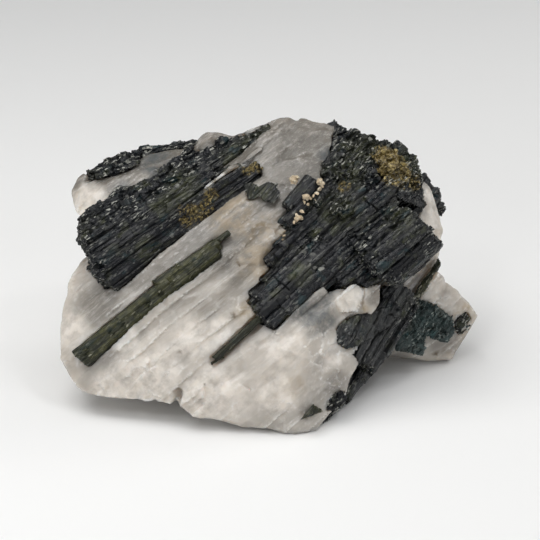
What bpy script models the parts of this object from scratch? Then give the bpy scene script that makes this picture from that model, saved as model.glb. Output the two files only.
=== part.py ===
"""Tourmaline in matrix: a broken lump of milky quartz with black, green and blue tourmaline.

Every place is given as it is seen from the front, in millimetres: across from the left edge,
up from the lowest point of the outline, and out in front of the specimen's middle plane.
"""

import math
import random

import bmesh
import bpy
import numpy as np
from mathutils import Matrix, Vector, noise
from mathutils.bvhtree import BVHTree

# Real size, in millimetres.
METRES_PER_MM = 0.001
SIGHT_ELEVATION = math.radians(25.0)
SIGHT_DISTANCE = 600.0
MIDDLE_ACROSS = 52.5
MIDDLE_UP = 41.0
ORIGIN_SHIFT = Vector((-0.82, -1.54, 28.4))
CLEARANCE = 0.34
SEED = 11

# Sizes of the quartz surface, in millimetres.
QUARTZ_GRID = 1.3
QUARTZ_TRIANGLES = 2400
FLUTE_PITCH = 5.4
FLUTE_DEPTH = 0.55
LUMP_SIZE = 11.0
LUMP_HEIGHT = 1.0

# Colours are linear, as the materials take them.
QUARTZ_COLOUR = (0.62, 0.58, 0.54, 1.0)
BLACK_COLOUR = (0.016, 0.019, 0.020, 1.0)
GREEN_COLOUR = (0.045, 0.055, 0.025, 1.0)
BLUE_COLOUR = (0.018, 0.034, 0.036, 1.0)
GOLD_COLOUR = (0.22, 0.14, 0.035, 1.0)
FELDSPAR_COLOUR = (0.66, 0.48, 0.28, 1.0)


def seen(across, up, out):
    """The point that shows this far across and up, and lies this far out."""
    nearer = 1.0 - out / SIGHT_DISTANCE
    side = (across - MIDDLE_ACROSS) * nearer
    rise = (up - MIDDLE_UP) * nearer
    back = rise * math.sin(SIGHT_ELEVATION) - out * math.cos(SIGHT_ELEVATION)
    height = rise * math.cos(SIGHT_ELEVATION) + out * math.sin(SIGHT_ELEVATION)
    return Vector((side, back, height)) + ORIGIN_SHIFT


TO_EYE = Vector((0.0, -math.cos(SIGHT_ELEVATION), math.sin(SIGHT_ELEVATION)))


# Convex bodies


def hull(points):
    """The convex body round these points, as a mesh."""
    body = bmesh.new()
    for point in points:
        body.verts.new(point)
    made = bmesh.ops.convex_hull(body, input=body.verts)
    loose = {v for v in made["geom_interior"] + made["geom_unused"] if isinstance(v, bmesh.types.BMVert)}
    bmesh.ops.delete(body, geom=list(loose), context="VERTS")
    bmesh.ops.recalc_face_normals(body, faces=body.faces)
    return body


def grown(points, by):
    """The corners of the convex body with each of its faces moved out."""
    body = hull(points)
    body.normal_update()
    corners = []
    for corner in body.verts:
        normals = np.array([face.normal for face in corner.link_faces])
        move = np.linalg.lstsq(normals, np.full(len(normals), by), rcond=None)[0]
        reach = max((normals @ move).min(), 0.3 * by)
        move = move * min(by / reach, 3.0)
        corners.append(corner.co + Vector(move))
    body.free()
    return corners


def bar(start, end, width, depth, taper=1.0, roll=0.0, slant=0.0):
    """Corners of a six-sided crystal whose front face runs from start to end."""
    a, b = seen(*start), seen(*end)
    along = (b - a).normalized()
    side = along.cross(TO_EYE).normalized()
    front = side.cross(along).normalized()
    turn = Matrix.Rotation(math.radians(roll), 3, along)
    side, front = turn @ side, turn @ front
    section = [(-0.28, 0.0), (0.26, 0.0), (0.5, -0.34), (0.44, -0.86), (-0.42, -1.0), (-0.5, -0.3)]
    corners = []
    for place, size, lean in ((a, 1.0, slant), (b, taper, -slant)):
        for s, f in section:
            tilt = along * (s * width * lean)
            corners.append(place + side * (s * width * size) + front * (f * depth * size) + tilt)
    return corners


def chunk(*corners):
    """Corners of a convex lump, given as seen."""
    return [seen(*corner) for corner in corners]


def splinters(count, start, end, length, width, rng):
    """Short broken crystals lying along a line from start to end."""
    a, b = Vector(start), Vector(end)
    made = []
    for _ in range(count):
        place = a.lerp(b, rng.random()) + Vector((rng.uniform(-1, 1), rng.uniform(-1, 1), rng.uniform(-1.1, 0.3)))
        reach = rng.uniform(0.5, 1.0) * length
        angle = math.radians(rng.uniform(30, 52))
        far = place + Vector((math.cos(angle), math.sin(angle), rng.uniform(-0.5, 0.1))) * reach
        size = rng.uniform(0.6, 1.2) * width
        made.append(bar(place, far, size, size * 1.6, roll=rng.uniform(-40, 40), slant=rng.uniform(-0.5, 0.5)))
    return made


# Solids from convex bodies


def object_from(name, body):
    mesh = bpy.data.meshes.new(name)
    bmesh.ops.triangulate(body, faces=body.faces)
    body.to_mesh(mesh)
    body.free()
    thing = bpy.data.objects.new(name, mesh)
    bpy.context.scene.collection.objects.link(thing)
    return thing


def settle(thing):
    """Makes the modifiers' result the object's own mesh."""
    graph = bpy.context.evaluated_depsgraph_get()
    mesh = bpy.data.meshes.new_from_object(thing.evaluated_get(graph))
    thing.modifiers.clear()
    thing.data = mesh


def box_of(points):
    return [(min(p[i] for p in points), max(p[i] for p in points)) for i in range(3)]


def near(thing, convex):
    """The convex bodies whose boxes reach the object's box."""
    own = box_of([vertex.co for vertex in thing.data.vertices])
    return [
        corners for corners in convex
        if all(a[0] <= b[1] and b[0] <= a[1] for a, b in zip(own, box_of(corners)))
    ]


def inside(tree, point):
    """Whether the point lies within the closed surface: two of three rays cross it an odd number of times."""
    votes = 0
    for way in (Vector((0.31, 0.23, 0.92)), Vector((-0.77, 0.52, 0.37)), Vector((0.41, -0.83, -0.38))):
        crossings, start = 0, point
        hit = tree.ray_cast(start, way)
        while hit[0] is not None:
            crossings += 1
            start = hit[0] + way.normalized() * 0.0005
            hit = tree.ray_cast(start, way)
        votes += crossings % 2
    return votes >= 2


def holds(thing, corners):
    """Whether some of the convex body is left in the object."""
    middle = sum(corners, Vector()) / len(corners)
    body = bmesh.new()
    body.from_mesh(thing.data)
    tree = BVHTree.FromBMesh(body)
    body.free()
    return any(inside(tree, point) for point in [middle] + [middle.lerp(corner, 0.75) for corner in corners])


def combine(thing, convex, operation):
    """Adds the convex bodies to the object, or cuts them from it."""
    if not convex:
        return
    group = bpy.data.collections.new("operands")
    bpy.context.scene.collection.children.link(group)
    for corners in convex:
        operand = object_from("operand", hull(corners))
        bpy.context.scene.collection.objects.unlink(operand)
        group.objects.link(operand)
    step = thing.modifiers.new("combine", "BOOLEAN")
    step.operation = operation
    step.operand_type = "COLLECTION"
    step.collection = group
    step.solver = "EXACT"
    settle(thing)
    for operand in list(group.objects):
        bpy.data.objects.remove(operand)
    bpy.data.collections.remove(group)


def largest_piece(mesh, merge, flat):
    """The mesh's largest piece, with points this close joined and near-flat faces made one."""
    body = bmesh.new()
    body.from_mesh(mesh)
    bmesh.ops.remove_doubles(body, verts=body.verts, dist=merge)
    bmesh.ops.dissolve_degenerate(body, edges=body.edges, dist=merge)
    if flat:
        bmesh.ops.dissolve_limit(body, angle_limit=math.radians(flat), verts=body.verts, edges=body.edges)
    bmesh.ops.triangulate(body, faces=body.faces)
    pieces, left = [], set(body.faces)
    while left:
        piece, waiting = [], [left.pop()]
        while waiting:
            face = waiting.pop()
            piece.append(face)
            beside = {f for e in face.edges if len(e.link_faces) == 2 for f in e.link_faces} & left
            left -= beside
            waiting.extend(beside)
        pieces.append(piece)
    pieces.sort(key=lambda faces: sum(face.calc_area() for face in faces))
    for piece in pieces[:-1]:
        bmesh.ops.delete(body, geom=piece, context="FACES")
    return body


def keep_largest(thing):
    """Drops the crumbs that a cut leaves loose, and the needless points on flat faces."""
    for merge, flat in ((0.03, 1.0), (0.01, 1.0), (0.004, 0.6), (0.002, 0.2), (0.001, 0.0)):
        body = largest_piece(thing.data, merge, flat)
        if all(len(edge.link_faces) == 2 for edge in body.edges):
            break
        body.free()
    body.to_mesh(thing.data)
    body.free()


def base_material(name, colour, roughness):
    made = bpy.data.materials.new(name)
    made.use_nodes = True
    shader = made.node_tree.nodes["Principled BSDF"]
    shader.inputs["Base Color"].default_value = colour
    shader.inputs["Roughness"].default_value = roughness
    shader.inputs["Metallic"].default_value = 0.0
    return made


def finished(thing, material):
    """Gives the object its material and its real size in metres."""
    thing.data.transform(Matrix.Scale(METRES_PER_MM, 4))
    thing.data.materials.clear()
    thing.data.materials.append(material)
    thing.data.shade_flat()
    return thing


# Tourmaline, as lists of convex crystals


def left_bundle(rng):
    """The thick bundle that lies over the upper left, ending in a broken face."""
    core = chunk(
        (11.2, 36.5, 11.0), (8.0, 42.0, 9.0), (6.5, 48.5, 8.0), (5.5, 53.0, 5.0),
        (9.5, 56.5, 3.0), (15.0, 59.8, 2.0), (26.0, 63.5, 1.0), (34.0, 66.5, 3.0),
        (43.0, 67.0, 3.0), (36.0, 55.0, 5.0), (14.0, 42.0, 3.0), (30.0, 60.0, -3.0),
    )
    upper_core = chunk(
        (27.0, 64.0, 0.0), (32.0, 69.5, -5.0), (45.0, 73.0, -4.5), (52.0, 77.0, -4.0),
        (52.0, 75.6, -3.0), (36.0, 65.0, 1.5), (33.0, 62.6, -4.0), (45.0, 69.6, -6.0),
    )
    lower_bars = [
        bar((12.6, 37.4, 14.6), (49.8, 66.4, 6.5), 5.2, 9.0, taper=0.7, slant=0.3),
        bar((9.8, 40.0, 15.6), (46.0, 66.0, 7.6), 5.4, 9.0, taper=0.7, roll=8),
        bar((8.2, 43.4, 15.8), (38.0, 62.8, 9.2), 5.4, 9.0, taper=0.9, roll=-8, slant=-0.2),
        bar((7.0, 47.0, 15.0), (38.0, 65.6, 7.6), 5.4, 9.0, taper=0.8, roll=6),
        bar((6.2, 50.6, 13.2), (34.5, 66.8, 5.6), 5.0, 9.0, taper=0.8, roll=-12),
        bar((6.4, 53.6, 10.4), (28.5, 65.8, 4.0), 4.8, 8.0, roll=-28, slant=0.3),
        bar((9.4, 56.0, 6.4), (27.0, 65.0, 2.2), 4.4, 6.0, roll=-42),
    ]
    upper_bars = [
        bar((25.0, 59.6, 4.8), (53.2, 75.7, -2.0), 4.4, 6.0, taper=0.75, roll=10),
        bar((26.0, 61.0, 3.2), (53.0, 77.2, -3.2), 2.6, 5.0, taper=0.8, roll=-25),
        bar((26.6, 65.4, 0.0), (33.6, 70.8, -5.0), 3.8, 5.0, roll=-20, slant=0.4),
    ]
    rough = splinters(9, (9.0, 55.0, 8.0), (30.0, 64.5, 3.0), 4.5, 2.1, rng)
    rough += splinters(3, (12.0, 46.0, 15.6), (34.0, 61.5, 8.6), 5.0, 1.8, rng)
    rough += splinters(3, (38.0, 71.5, -1.5), (48.0, 75.2, -2.6), 3.0, 1.6, rng)
    return [core, upper_core] + lower_bars + upper_bars + rough


def left_top_crystals(rng):
    """The crust of crystals along the left shoulder's top edge, thick at its left end."""
    crust = chunk(
        (6.6, 63.2, -5.2), (7.0, 65.4, -5.8), (9.2, 67.6, -7.6), (12.2, 69.4, -8.6),
        (15.6, 70.6, -9.2), (19.8, 71.2, -9.4), (9.8, 64.0, -2.4), (13.0, 65.0, -1.2),
        (16.6, 66.0, -0.6), (20.0, 67.6, -2.4), (14.0, 66.0, -10.0), (19.0, 69.0, -12.0),
    )
    bars = [
        bar((8.0, 65.0, -4.6), (19.0, 69.3, -7.0), 4.4, 4.0, roll=-20, slant=0.5),
        bar((18.0, 70.2, -9.0), (34.8, 73.0, -10.2), 2.6, 4.0, roll=-20),
    ]
    return [crust] + bars + splinters(5, (10.0, 66.0, -4.6), (22.0, 69.6, -6.6), 2.4, 1.8, rng)


def right_bundle(rng):
    """The large bundle of the right half: long striated bars under a thick broken block."""
    core = chunk(
        (52.5, 29.5, 16.0), (50.0, 32.0, 16.0), (55.5, 46.5, 9.0), (57.5, 56.0, 7.0),
        (64.0, 62.0, 4.0), (70.0, 72.0, -4.0), (74.0, 75.5, -7.0), (82.0, 71.5, -8.0),
        (89.5, 66.0, -8.0), (91.0, 57.0, -4.0), (82.0, 40.0, 3.0), (68.0, 37.0, 8.0),
        (84.0, 46.0, -8.0), (70.0, 50.0, -6.0), (88.0, 60.0, -14.0),
    )
    slab = [
        bar((52.8, 27.6, 21.5), (83.0, 56.5, 9.0), 3.8, 8.0, roll=8, slant=0.2),
        bar((50.0, 30.6, 21.8), (86.5, 63.5, 6.0), 3.8, 8.0, roll=-8),
        bar((49.8, 34.0, 20.2), (87.5, 67.8, 3.0), 3.6, 8.0, roll=12),
        bar((51.6, 38.4, 18.6), (85.0, 69.4, 2.0), 3.8, 8.0, roll=-12),
        bar((53.4, 42.8, 17.2), (82.5, 70.3, 1.0), 3.8, 8.0, roll=8),
        bar((55.4, 47.2, 15.8), (80.0, 71.2, -0.5), 3.8, 8.0, roll=-10),
        bar((57.6, 52.0, 13.4), (77.6, 72.4, -2.0), 3.8, 8.0, roll=14),
        bar((63.8, 58.4, 11.0), (76.0, 73.8, -3.6), 4.2, 8.0, roll=-8),
        bar((68.0, 65.0, 6.4), (74.6, 75.6, -5.0), 4.0, 8.0, roll=10),
        bar((69.0, 71.0, 1.0), (70.6, 76.6, -4.0), 3.6, 6.0, roll=0),
    ]
    foot_of_slab = [
        bar((47.8, 32.6, 19.4), (56.0, 42.0, 16.4), 2.4, 5.0, roll=-10),
        bar((65.4, 36.6, 16.2), (82.0, 50.0, 11.0), 4.2, 7.0, roll=10, slant=0.3),
        bar((70.4, 37.6, 14.6), (84.0, 49.0, 10.0), 4.2, 7.0, roll=-12, slant=0.3),
        bar((75.6, 37.6, 13.0), (87.0, 46.6, 9.0), 4.4, 7.0, roll=6, slant=0.4),
    ]
    block = [
        chunk(
            (72.6, 48.6, 14.5), (77.0, 43.4, 17.5), (82.8, 37.8, 14.0), (86.8, 56.6, 11.0),
            (90.6, 52.0, 13.5), (95.4, 47.2, 7.5), (83.0, 57.0, 7.0), (84.0, 37.0, 5.0),
            (95.0, 46.6, -2.0), (80.0, 55.0, 0.0), (76.0, 44.0, 4.0),
        ),
        bar((73.6, 50.0, 15.2), (84.6, 57.6, 11.6), 3.4, 7.0, roll=-16, slant=0.4),
        bar((80.0, 41.0, 17.6), (92.4, 51.4, 12.4), 3.2, 6.0, roll=16, slant=-0.3),
        bar((84.4, 38.4, 15.0), (94.2, 47.6, 10.0), 3.6, 8.0, roll=36, slant=0.2),
    ]
    broken_top = [
        chunk(
            (77.5, 65.0, 4.0), (79.5, 73.0, -3.0), (85.0, 71.8, -4.0), (89.3, 68.8, -6.0),
            (90.6, 63.0, -4.0), (91.4, 56.0, 0.0), (86.0, 58.0, 5.0), (88.0, 62.0, -14.0),
            (80.0, 70.0, -12.0),
        ),
        chunk(
            (65.6, 76.9, -4.0), (68.4, 78.3, -4.5), (71.0, 76.8, -5.0), (70.6, 73.0, -2.0),
            (68.8, 71.0, -3.0), (67.6, 76.0, -9.0),
        ),
    ]
    rough = splinters(11, (68.0, 66.0, 6.5), (84.0, 60.0, 7.5), 4.5, 2.4, rng)
    rough += splinters(7, (71.0, 74.0, -2.5), (87.0, 68.5, -3.5), 3.2, 2.4, rng)
    rough += splinters(4, (57.0, 48.0, 15.2), (76.0, 58.0, 11.2), 5.0, 1.8, rng)
    rough += splinters(4, (73.5, 48.0, 13.8), (84.0, 40.0, 13.8), 3.0, 2.2, rng)
    return [core] + slab + foot_of_slab + block + broken_top + rough


def lower_bundle(rng):
    """Steep columns that come out of the quartz at the lower right."""
    return [
        chunk(
            (68.4, 24.0, 17.0), (69.6, 27.4, 17.0), (72.4, 29.2, 15.5), (74.6, 22.0, 15.5),
            (71.4, 21.4, 16.5), (82.0, 31.4, 7.0), (85.0, 30.0, 4.0), (72.0, 25.0, 8.0),
            (84.0, 33.0, -4.0),
        ),
        bar((73.4, 19.4, 14.2), (83.0, 35.0, 5.0), 4.6, 8.0, roll=10, slant=0.3),
        bar((76.8, 18.0, 10.5), (86.8, 34.6, 2.0), 4.4, 8.0, roll=-8, slant=0.2),
        bar((80.6, 20.6, 6.0), (88.6, 33.4, -1.0), 4.2, 8.0, roll=14, slant=0.4),
        bar((65.8, 2.6, 13.6), (80.0, 22.0, 3.0), 2.6, 5.0, roll=24, slant=0.3),
        bar((71.4, 10.8, 9.6), (82.0, 25.0, 0.5), 3.4, 6.0, roll=-10, slant=-0.3),
        chunk(
            (80.4, 36.6, 6.5), (85.6, 37.4, 3.0), (89.2, 33.4, 0.0), (85.6, 30.6, 3.0),
            (80.8, 31.4, 6.5), (84.0, 34.0, -6.0),
        ),
    ] + splinters(4, (70.0, 24.5, 16.4), (84.0, 30.0, 6.0), 3.0, 1.8, rng)


def blue_mass(rng):
    """The blue-green lump that leans out over the foot at the right."""
    return [
        chunk(
            (86.6, 33.0, -2.5), (91.6, 33.2, -5.0), (95.2, 31.0, -8.0), (98.4, 28.4, -9.0),
            (98.0, 25.2, -9.0), (96.4, 23.2, -9.0), (91.4, 24.2, -5.0), (87.4, 27.6, -2.0),
            (92.0, 29.0, -16.0),
        ),
        chunk(
            (84.8, 28.4, -1.2), (89.8, 28.0, -3.4), (91.6, 23.8, -4.8), (90.4, 19.8, -6.5),
            (85.0, 20.8, -4.5), (82.4, 22.2, -2.0), (88.0, 24.0, -12.0),
        ),
    ] + splinters(5, (87.0, 31.0, -3.2), (95.0, 26.8, -8.4), 3.0, 2.2, rng)


def long_green_crystal():
    """The long olive prism that lies across the front face."""
    return [
        bar((4.9, 18.9, 15.6), (39.0, 46.6, 16.0), 5.2, 4.6, taper=0.86, roll=-6, slant=0.2),
        bar((6.2, 22.0, 15.5), (26.6, 38.4, 16.2), 2.2, 3.4, roll=-24),
        bar((24.0, 37.8, 16.0), (39.5, 48.2, 15.6), 2.4, 3.2, roll=-20, slant=0.4),
        bar((38.0, 47.4, 15.2), (42.2, 50.3, 14.8), 1.3, 2.0),
    ]


def short_green_crystal():
    """The thin prism below the right bundle's tip."""
    return [
        bar((38.9, 18.5, 21.9), (50.6, 29.2, 20.8), 2.3, 2.6, roll=8, slant=0.3),
        bar((37.6, 17.4, 21.4), (41.0, 19.4, 21.6), 1.2, 1.8),
    ]


def chip():
    """The dark chip set in the quartz under the dome."""
    return [
        chunk(
            (45.8, 62.8, 9.4), (49.2, 62.4, 10.4), (49.8, 59.2, 10.6), (47.2, 58.5, 10.0),
            (48.0, 61.0, 5.0),
        ),
        chunk(
            (49.0, 61.6, 10.2), (51.8, 63.2, 9.6), (54.4, 62.4, 10.0), (55.0, 59.4, 10.8),
            (53.6, 57.9, 11.2), (50.6, 58.0, 11.2), (52.0, 61.0, 5.0),
        ),
    ]


def small_black_crystal():
    """The stubby prism cluster standing at the foot of the dome."""
    return [
        bar((57.0, 57.2, 13.0), (62.6, 64.2, 10.6), 3.0, 4.0, roll=-10),
        bar((59.2, 57.0, 13.2), (64.2, 62.8, 10.8), 2.8, 4.0, roll=14, slant=0.3),
        bar((57.4, 52.8, 14.4), (61.2, 57.4, 13.0), 3.0, 4.0, roll=6),
    ]


def lower_edge_lump(rng):
    """The dark granular lump at the lower right edge."""
    return [
        chunk(
            (65.6, 7.6, 17.2), (67.6, 9.4, 16.8), (70.4, 10.4, 15.6), (72.0, 8.6, 14.6),
            (70.2, 6.2, 15.0), (67.0, 5.8, 16.4), (69.0, 8.0, 11.0),
        ),
    ] + splinters(3, (67.0, 7.6, 16.6), (70.6, 8.4, 15.0), 1.4, 1.6, rng)


def foot_stub(rng):
    """The dark brown stub at the foot's right corner."""
    return [
        chunk(
            (98.8, 27.0, -11.0), (99.0, 30.0, -11.5), (101.4, 30.0, -12.0), (103.0, 28.2, -13.0),
            (101.8, 26.2, -12.5), (99.6, 24.8, -12.0), (100.6, 28.0, -17.0),
        ),
    ] + splinters(2, (99.6, 27.0, -11.2), (101.6, 28.2, -12.2), 1.2, 1.5, rng)


def edge_crystal():
    """The thin brown-green crystal between the block and the white foot."""
    return [bar((87.6, 33.2, -1.6), (95.0, 43.6, -5.0), 1.9, 3.6, roll=-14, slant=0.5)]


def back_right_crystal(rng):
    """The dark sliver behind the right shoulder."""
    return [
        bar((95.2, 56.6, -13.0), (90.6, 64.6, -16.0), 3.0, 5.0, roll=20, slant=-0.4),
    ] + splinters(2, (95.0, 57.4, -12.8), (92.6, 62.0, -14.6), 1.6, 1.6, rng)


def mica_cluster(rng):
    """The rusty golden cluster on the broken top."""
    return [
        chunk(
            (78.4, 69.4, 4.4), (80.4, 71.4, 2.6), (84.0, 70.8, 2.6), (87.2, 67.4, 2.0),
            (87.4, 63.4, 3.0), (84.2, 62.4, 5.4), (79.6, 65.6, 6.4), (82.6, 67.4, 7.6),
            (82.6, 67.0, -1.0),
        ),
    ] + splinters(4, (80.0, 68.6, 5.6), (86.0, 65.0, 4.8), 1.2, 1.8, rng)


def olive_wedge():
    """The small olive wedge near the lowest point."""
    return [
        chunk((59.8, 3.4, 21.2), (63.2, 7.6, 21.0), (66.0, 5.6, 19.4), (62.6, 5.0, 21.8), (62.8, 5.4, 17.4)),
    ]


FELDSPAR_GRAINS = (
    ((58.6, 63.6, 10.4), 1.3),
    ((61.4, 59.0, 13.9), 1.0),
    ((64.6, 62.4, 11.7), 1.5),
    ((59.8, 54.4, 14.6), 1.2),
)


def feldspar_grain(place, size, rng):
    """A small angular grain."""
    middle = seen(*place)
    return [middle + Vector([rng.uniform(-1, 1) for _ in range(3)]).normalized() * size for _ in range(10)]


# The back is not seen; the crystals there run on in the same direction as those in front.


def back_bundle():
    """Three thick crystals that lie open along the back."""
    return [
        bar((33.0, 37.0, -20.0), (70.0, 66.0, -18.0), 8.0, 10.0, roll=-6, slant=0.3),
        bar((37.0, 33.0, -20.0), (76.0, 62.0, -17.0), 7.4, 11.0, roll=4, slant=-0.2),
        bar((45.0, 32.0, -18.0), (79.0, 56.0, -16.0), 6.4, 11.0, roll=0, slant=0.3),
    ]


# Quartz


def quartz_lobes():
    """The convex lobes that make up the broken lump of quartz."""
    left_slab = chunk(
        (-0.9, 22.0, 9.0), (-0.3, 29.0, 8.0), (1.4, 36.2, 7.0), (4.6, 43.6, 6.0),
        (0.8, 15.4, 10.5), (4.2, 11.2, 12.0), (8.6, 8.8, 13.5), (12.4, 8.2, 14.5),
        (20.0, 8.0, 16.0), (28.6, 7.0, 17.8), (7.5, 24.0, 13.6), (16.0, 20.0, 16.6),
        (20.0, 34.0, 15.0), (30.0, 14.0, 19.6), (30.0, 42.0, 15.0), (44.0, 55.0, 11.0),
        (14.0, 48.0, 8.0), (8.0, 30.0, -12.0), (12.0, 16.0, -6.0), (16.0, 50.0, -16.0),
        (34.0, 22.0, -20.0), (40.0, 60.0, -24.0),
    )
    belly = chunk(
        (29.6, 9.6, 18.8), (30.4, 6.2, 18.8), (33.0, 4.0, 19.0), (35.2, 3.4, 19.0),
        (42.0, 3.1, 19.4), (50.6, 1.4, 19.2), (56.4, 0.2, 18.8), (60.4, -0.9, 18.2),
        (64.6, 0.3, 17.0), (67.0, 3.6, 16.4), (71.4, 9.2, 14.8), (58.0, 8.0, 22.2),
        (40.0, 10.0, 21.6), (34.0, 24.0, 19.0), (48.0, 30.0, 19.4), (62.0, 24.0, 21.4),
        (68.0, 16.0, 18.6), (46.0, 46.0, 14.6), (56.0, 40.0, 14.0), (40.0, 10.0, -10.0),
        (62.0, 10.0, -4.0), (70.0, 22.0, -6.0), (50.0, 34.0, -24.0),
    )
    middle = chunk(
        (30.0, 42.0, 15.0), (44.0, 55.0, 11.2), (30.0, 20.0, 19.0), (34.0, 24.0, 19.0),
        (48.0, 30.0, 19.2), (46.0, 46.0, 14.6), (38.0, 36.0, 17.2), (36.0, 52.0, 11.6),
        (30.0, 30.0, -8.0), (46.0, 40.0, -8.0), (40.0, 54.0, -8.0),
    )
    fin = chunk(
        (80.0, 37.4, 10.2), (75.6, 37.4, 12.4), (72.6, 35.0, 14.2), (74.0, 31.4, 14.0),
        (78.6, 31.4, 11.0), (74.0, 33.0, 8.0), (78.0, 34.0, 7.0),
    )
    behind = chunk(
        (20.0, 40.0, -20.0), (44.0, 44.0, -25.0), (22.0, 58.0, -24.0), (40.0, 68.0, -22.0),
        (52.0, 66.0, -23.0), (60.0, 50.0, -24.0), (30.0, 50.0, -4.0), (50.0, 56.0, -4.0),
        (24.0, 30.0, -16.0), (46.0, 72.0, -20.0), (35.0, 70.0, -20.0), (40.0, 69.0, -10.0),
    )
    heel = chunk(
        (31.0, 23.5, -30.0), (71.0, 23.5, -30.0), (27.0, 12.9, -8.3), (68.3, 12.0, -6.5),
        (23.5, 34.7, -20.0), (77.0, 37.0, -25.0), (52.0, 37.5, -29.5), (36.0, 36.0, -27.0),
        (60.0, 24.0, 6.0),
    )
    right_bulge = chunk(
        (53.0, 28.0, 19.8), (66.0, 35.6, 14.4), (73.0, 37.9, 12.4), (75.0, 36.8, 12.0),
        (79.6, 37.2, 9.4), (78.6, 30.0, 9.8), (78.0, 24.0, 10.0), (75.6, 19.0, 12.4),
        (72.4, 12.6, 14.4), (66.0, 7.0, 17.4), (60.0, 14.0, 22.4), (64.0, 28.0, 19.8),
        (70.0, 24.0, 17.4), (66.0, 24.0, 0.0), (76.0, 30.0, 0.0), (54.0, 20.0, 21.8),
    )
    dome = chunk(
        (44.0, 75.4, -5.0), (53.8, 78.8, -3.0), (56.6, 79.6, -3.0), (60.4, 78.4, -2.6),
        (65.6, 76.8, -2.4), (68.7, 76.2, -2.0), (68.3, 71.0, 0.4), (66.4, 64.0, 4.6),
        (60.0, 58.0, 9.6), (52.0, 60.0, 9.4), (45.0, 62.0, 7.2), (40.0, 66.0, 1.6),
        (38.0, 58.0, 7.0), (36.0, 52.0, 11.6), (50.0, 44.0, 14.4), (56.0, 48.0, 12.8),
        (44.0, 70.0, -23.0), (58.0, 76.0, -18.0), (70.0, 60.0, -24.0), (46.0, 52.0, -27.0),
        (68.0, 44.0, -20.0),
    )
    left_shoulder = chunk(
        (2.8, 57.0, -5.0), (2.3, 61.2, -6.5), (4.0, 65.0, -7.0), (6.6, 66.6, -7.5),
        (9.8, 67.4, -10.0), (19.5, 70.4, -11.5), (28.0, 72.6, -12.5), (34.8, 72.6, -12.0),
        (4.4, 54.0, 0.0), (10.0, 58.6, 1.0), (16.0, 63.0, 0.6), (21.0, 66.4, -1.4),
        (30.0, 68.0, -3.6), (12.0, 46.0, 2.0), (34.0, 58.0, 4.0), (10.0, 52.0, -18.0),
        (22.0, 60.0, -24.0), (40.0, 70.0, -22.0), (30.0, 40.0, -20.0),
    )
    right_mass = chunk(
        (90.6, 64.0, -9.0), (93.0, 60.5, -10.0), (95.0, 55.0, -10.0), (96.0, 51.0, -9.0),
        (95.6, 48.4, -8.0), (95.0, 43.0, -8.0), (92.0, 52.0, -4.0), (86.0, 56.0, -2.0),
        (80.0, 70.0, -10.0), (70.0, 72.0, -10.0), (72.0, 36.0, 2.0), (90.0, 36.0, -6.0),
        (84.0, 64.0, -23.0), (66.0, 70.0, -23.0), (94.0, 48.0, -22.0), (80.0, 40.0, -26.0),
    )
    right_foot = chunk(
        (91.0, 42.0, -5.5), (95.0, 40.4, -8.0), (96.0, 37.0, -9.0), (98.0, 34.6, -10.0),
        (99.6, 32.0, -11.0), (102.8, 31.4, -12.0), (105.2, 29.2, -13.6), (105.0, 27.2, -13.8),
        (103.8, 25.0, -14.2), (99.2, 19.6, -15.4), (96.0, 18.2, -15.8), (92.0, 17.8, -14.6),
        (84.0, 20.4, -9.0), (80.0, 22.0, -6.0), (88.0, 32.0, -3.6), (96.0, 26.0, -10.8),
        (80.0, 36.0, 0.0), (99.0, 34.0, -22.0), (94.0, 24.0, -22.0), (86.0, 30.0, -27.0),
        (74.0, 20.0, -14.0),
    )
    root = chunk(
        (30.0, 14.0, -2.0), (60.0, 8.0, 0.0), (24.0, 30.0, -18.0), (50.0, 24.0, -25.0),
        (80.0, 24.0, -18.0), (78.0, 40.0, -27.0), (40.0, 48.0, -28.0), (76.0, 56.0, -27.0),
        (56.0, 66.0, -26.0), (60.0, 30.0, 8.0),
    )
    return [
        left_slab, belly, middle, behind, right_bulge, fin, dome, left_shoulder, right_mass,
        right_foot, root, heel,
    ]


def knob_corners():
    """The small smooth knob on the skyline, left of the dome."""
    middle = seen(38.6, 71.4, -5.4)
    ring = [
        middle + Matrix.Rotation(math.radians(turn), 3, TO_EYE) @ Vector((size, 0, 0)) + TO_EYE * lift
        for lift, size in ((-7.0, 4.0), (-2.5, 4.9), (0.0, 4.6), (2.2, 3.2))
        for turn in range(0, 360, 36)
    ]
    return ring + chunk((44.6, 74.9, -6.0), (36.0, 64.0, -6.0))


FLUTE_ALONG = (seen(39.0, 46.6, 16.0) - seen(4.9, 18.9, 15.6)).normalized()
FLUTE_SIDE = FLUTE_ALONG.cross(TO_EYE).normalized()


def flute(point):
    """Height of the long grooves that the crystals left in the quartz, from 0 to 1."""
    place = point.dot(FLUTE_SIDE) / FLUTE_PITCH + 0.35 * noise.noise(point / 21.0)
    turn = place - math.floor(place)
    return 1.0 - abs(2.0 * turn - 1.0)


def weather(thing):
    """Breaks the lobes' flat faces up into flutes, lumps and ledges."""
    mesh = thing.data
    normals = [vertex.normal.copy() for vertex in mesh.vertices]
    for vertex, normal in zip(mesh.vertices, normals):
        point = vertex.co.copy()
        facing = max(0.0, normal.dot(TO_EYE))
        lumps = noise.noise(point / LUMP_SIZE) + 0.5 * noise.noise(point / (0.45 * LUMP_SIZE))
        ledge = noise.noise(Vector((7.1, 3.3, 9.2)) + point / 7.0)
        ledge = math.floor(4.0 * ledge) / 4.0
        height = LUMP_HEIGHT * (0.55 * lumps + 0.5 * ledge) * (1.0 - 0.55 * facing)
        height += FLUTE_DEPTH * (flute(point) - 0.6) * facing
        vertex.co = point + normal * height


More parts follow.
